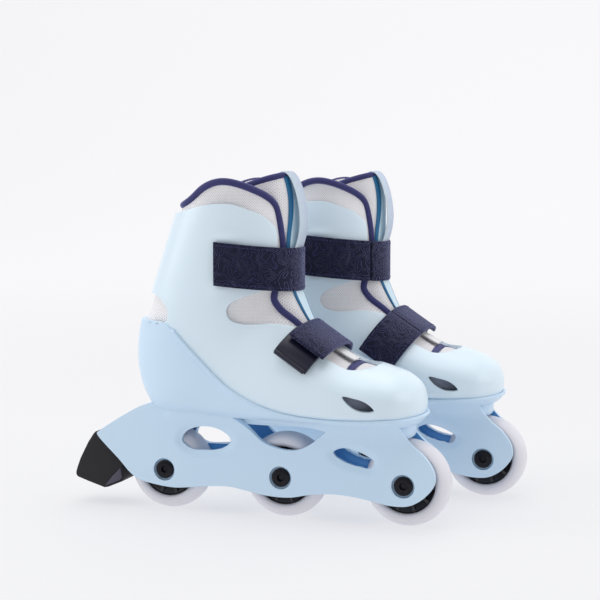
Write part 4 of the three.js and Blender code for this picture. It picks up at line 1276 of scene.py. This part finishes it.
def build_stage():
    profile = [(-3.0, 0.0), (1.6, 0.0)]
    profile += [(1.6 + 1.2 * math.sin(a), 1.2 - 1.2 * math.cos(a)) for a in np.linspace(0.05, math.pi / 2,
                                                                                        24)]
    profile += [(2.8, 5.0)]
    bm = bmesh.new()
    rows = [[bm.verts.new((x, y, z)) for y, z in profile] for x in (-5.0, 5.0)]
    for k in range(len(profile) - 1):
        bm.faces.new((rows[0][k], rows[1][k], rows[1][k + 1], rows[0][k + 1]))
    mesh = bpy.data.meshes.new("floor")
    bm.to_mesh(mesh)
    bm.free()
    mesh.shade_smooth()
    floor = bpy.data.objects.new("floor", mesh)
    bpy.context.scene.collection.objects.link(floor)
    material, tree, shader = new_material("floor_paper", 0.9)
    shader.inputs["Base Color"].default_value = (0.26, 0.25, 0.23, 1)
    shader.inputs["Specular IOR Level"].default_value = 0.0
    place = tree.nodes.new("ShaderNodeNewGeometry").outputs["Position"]
    distance = tree.nodes.new("ShaderNodeVectorMath")
    distance.operation = "LENGTH"
    tree.links.new(place, distance.inputs[0])
    far = tree.nodes.new("ShaderNodeMapRange")
    far.interpolation_type = "SMOOTHSTEP"
    far.inputs["From Min"].default_value, far.inputs["From Max"].default_value = 0.4, 2.4
    tree.links.new(distance.outputs["Value"], far.inputs["Value"])
    glow = mix_colours(tree, far.outputs["Result"], PAPER_NEAR, PAPER_FAR)
    tree.links.new(glow, shader.inputs["Emission Color"])
    shader.inputs["Emission Strength"].default_value = 1.0
    mesh.materials.append(material)


def add_light(name, place, target, size, power, colour=(1, 1, 1)):
    data = bpy.data.lights.new(name, "AREA")
    data.shape = "RECTANGLE"
    data.size, data.size_y = size
    data.energy = power
    data.color = colour
    light = bpy.data.objects.new(name, data)
    light.location = place
    light.rotation_euler = (Vector(target) - Vector(place)).to_track_quat("-Z", "Y").to_euler()
    bpy.context.scene.collection.objects.link(light)


LIGHTS = [
    ("overhead", (-0.1, 0.1, 1.9), (0, 0, 0.1), (2.4, 2.0), 25),
    ("left_side", (-1.8, -0.8, 1.0), (0, 0, 0.12), (1.4, 1.4), 16),
    ("front", (0.2, -2.0, 1.2), (0, 0, 0.12), (1.4, 1.0), 2),
    ("right_side", (1.8, 0.1, 0.9), (0, 0, 0.12), (1.2, 1.2), 8),
]
WORLD_TINT = (0.95, 0.965, 1.0, 1)
WORLD_STRENGTH = 0.38


def build_light():
    world = bpy.data.worlds.new("studio")
    bpy.context.scene.world = world
    world.use_nodes = True
    world.node_tree.nodes["Background"].inputs["Color"].default_value = WORLD_TINT
    world.node_tree.nodes["Background"].inputs["Strength"].default_value = WORLD_STRENGTH
    for name, place, target, size, power in LIGHTS:
        add_light(name, place, target, size, power)


CAMERA_PLACE = (0.31854, -0.98061, 0.24465)
CAMERA_DOWN, CAMERA_TURN = 5.321, 18.249
LENS, SENSOR = 84.0, 36.0


def build_camera():
    data = bpy.data.cameras.new("camera")
    data.lens, data.sensor_width = LENS, SENSOR
    camera = bpy.data.objects.new("camera", data)
    camera.location = CAMERA_PLACE
    camera.rotation_euler = (math.radians(90 - CAMERA_DOWN), 0, math.radians(CAMERA_TURN))
    bpy.context.scene.collection.objects.link(camera)
    bpy.context.scene.camera = camera


def main():
    bpy.context.scene.view_settings.view_transform = "Standard"
    looks = build_materials()
    make_shell(looks)
    for side in SIDES:
        make_chassis(side, looks)
    make_liner(looks)
    make_liner_toe(looks)
    make_insole(looks)
    make_tongue(looks)
    make_pull(looks)
    make_straps(looks)
    make_tape(looks)
    make_throat_cloth(looks)
    make_wheels(looks)
    make_bolts(looks)
    make_brake(looks)
    build_stage()
    build_light()
    build_camera()


main()
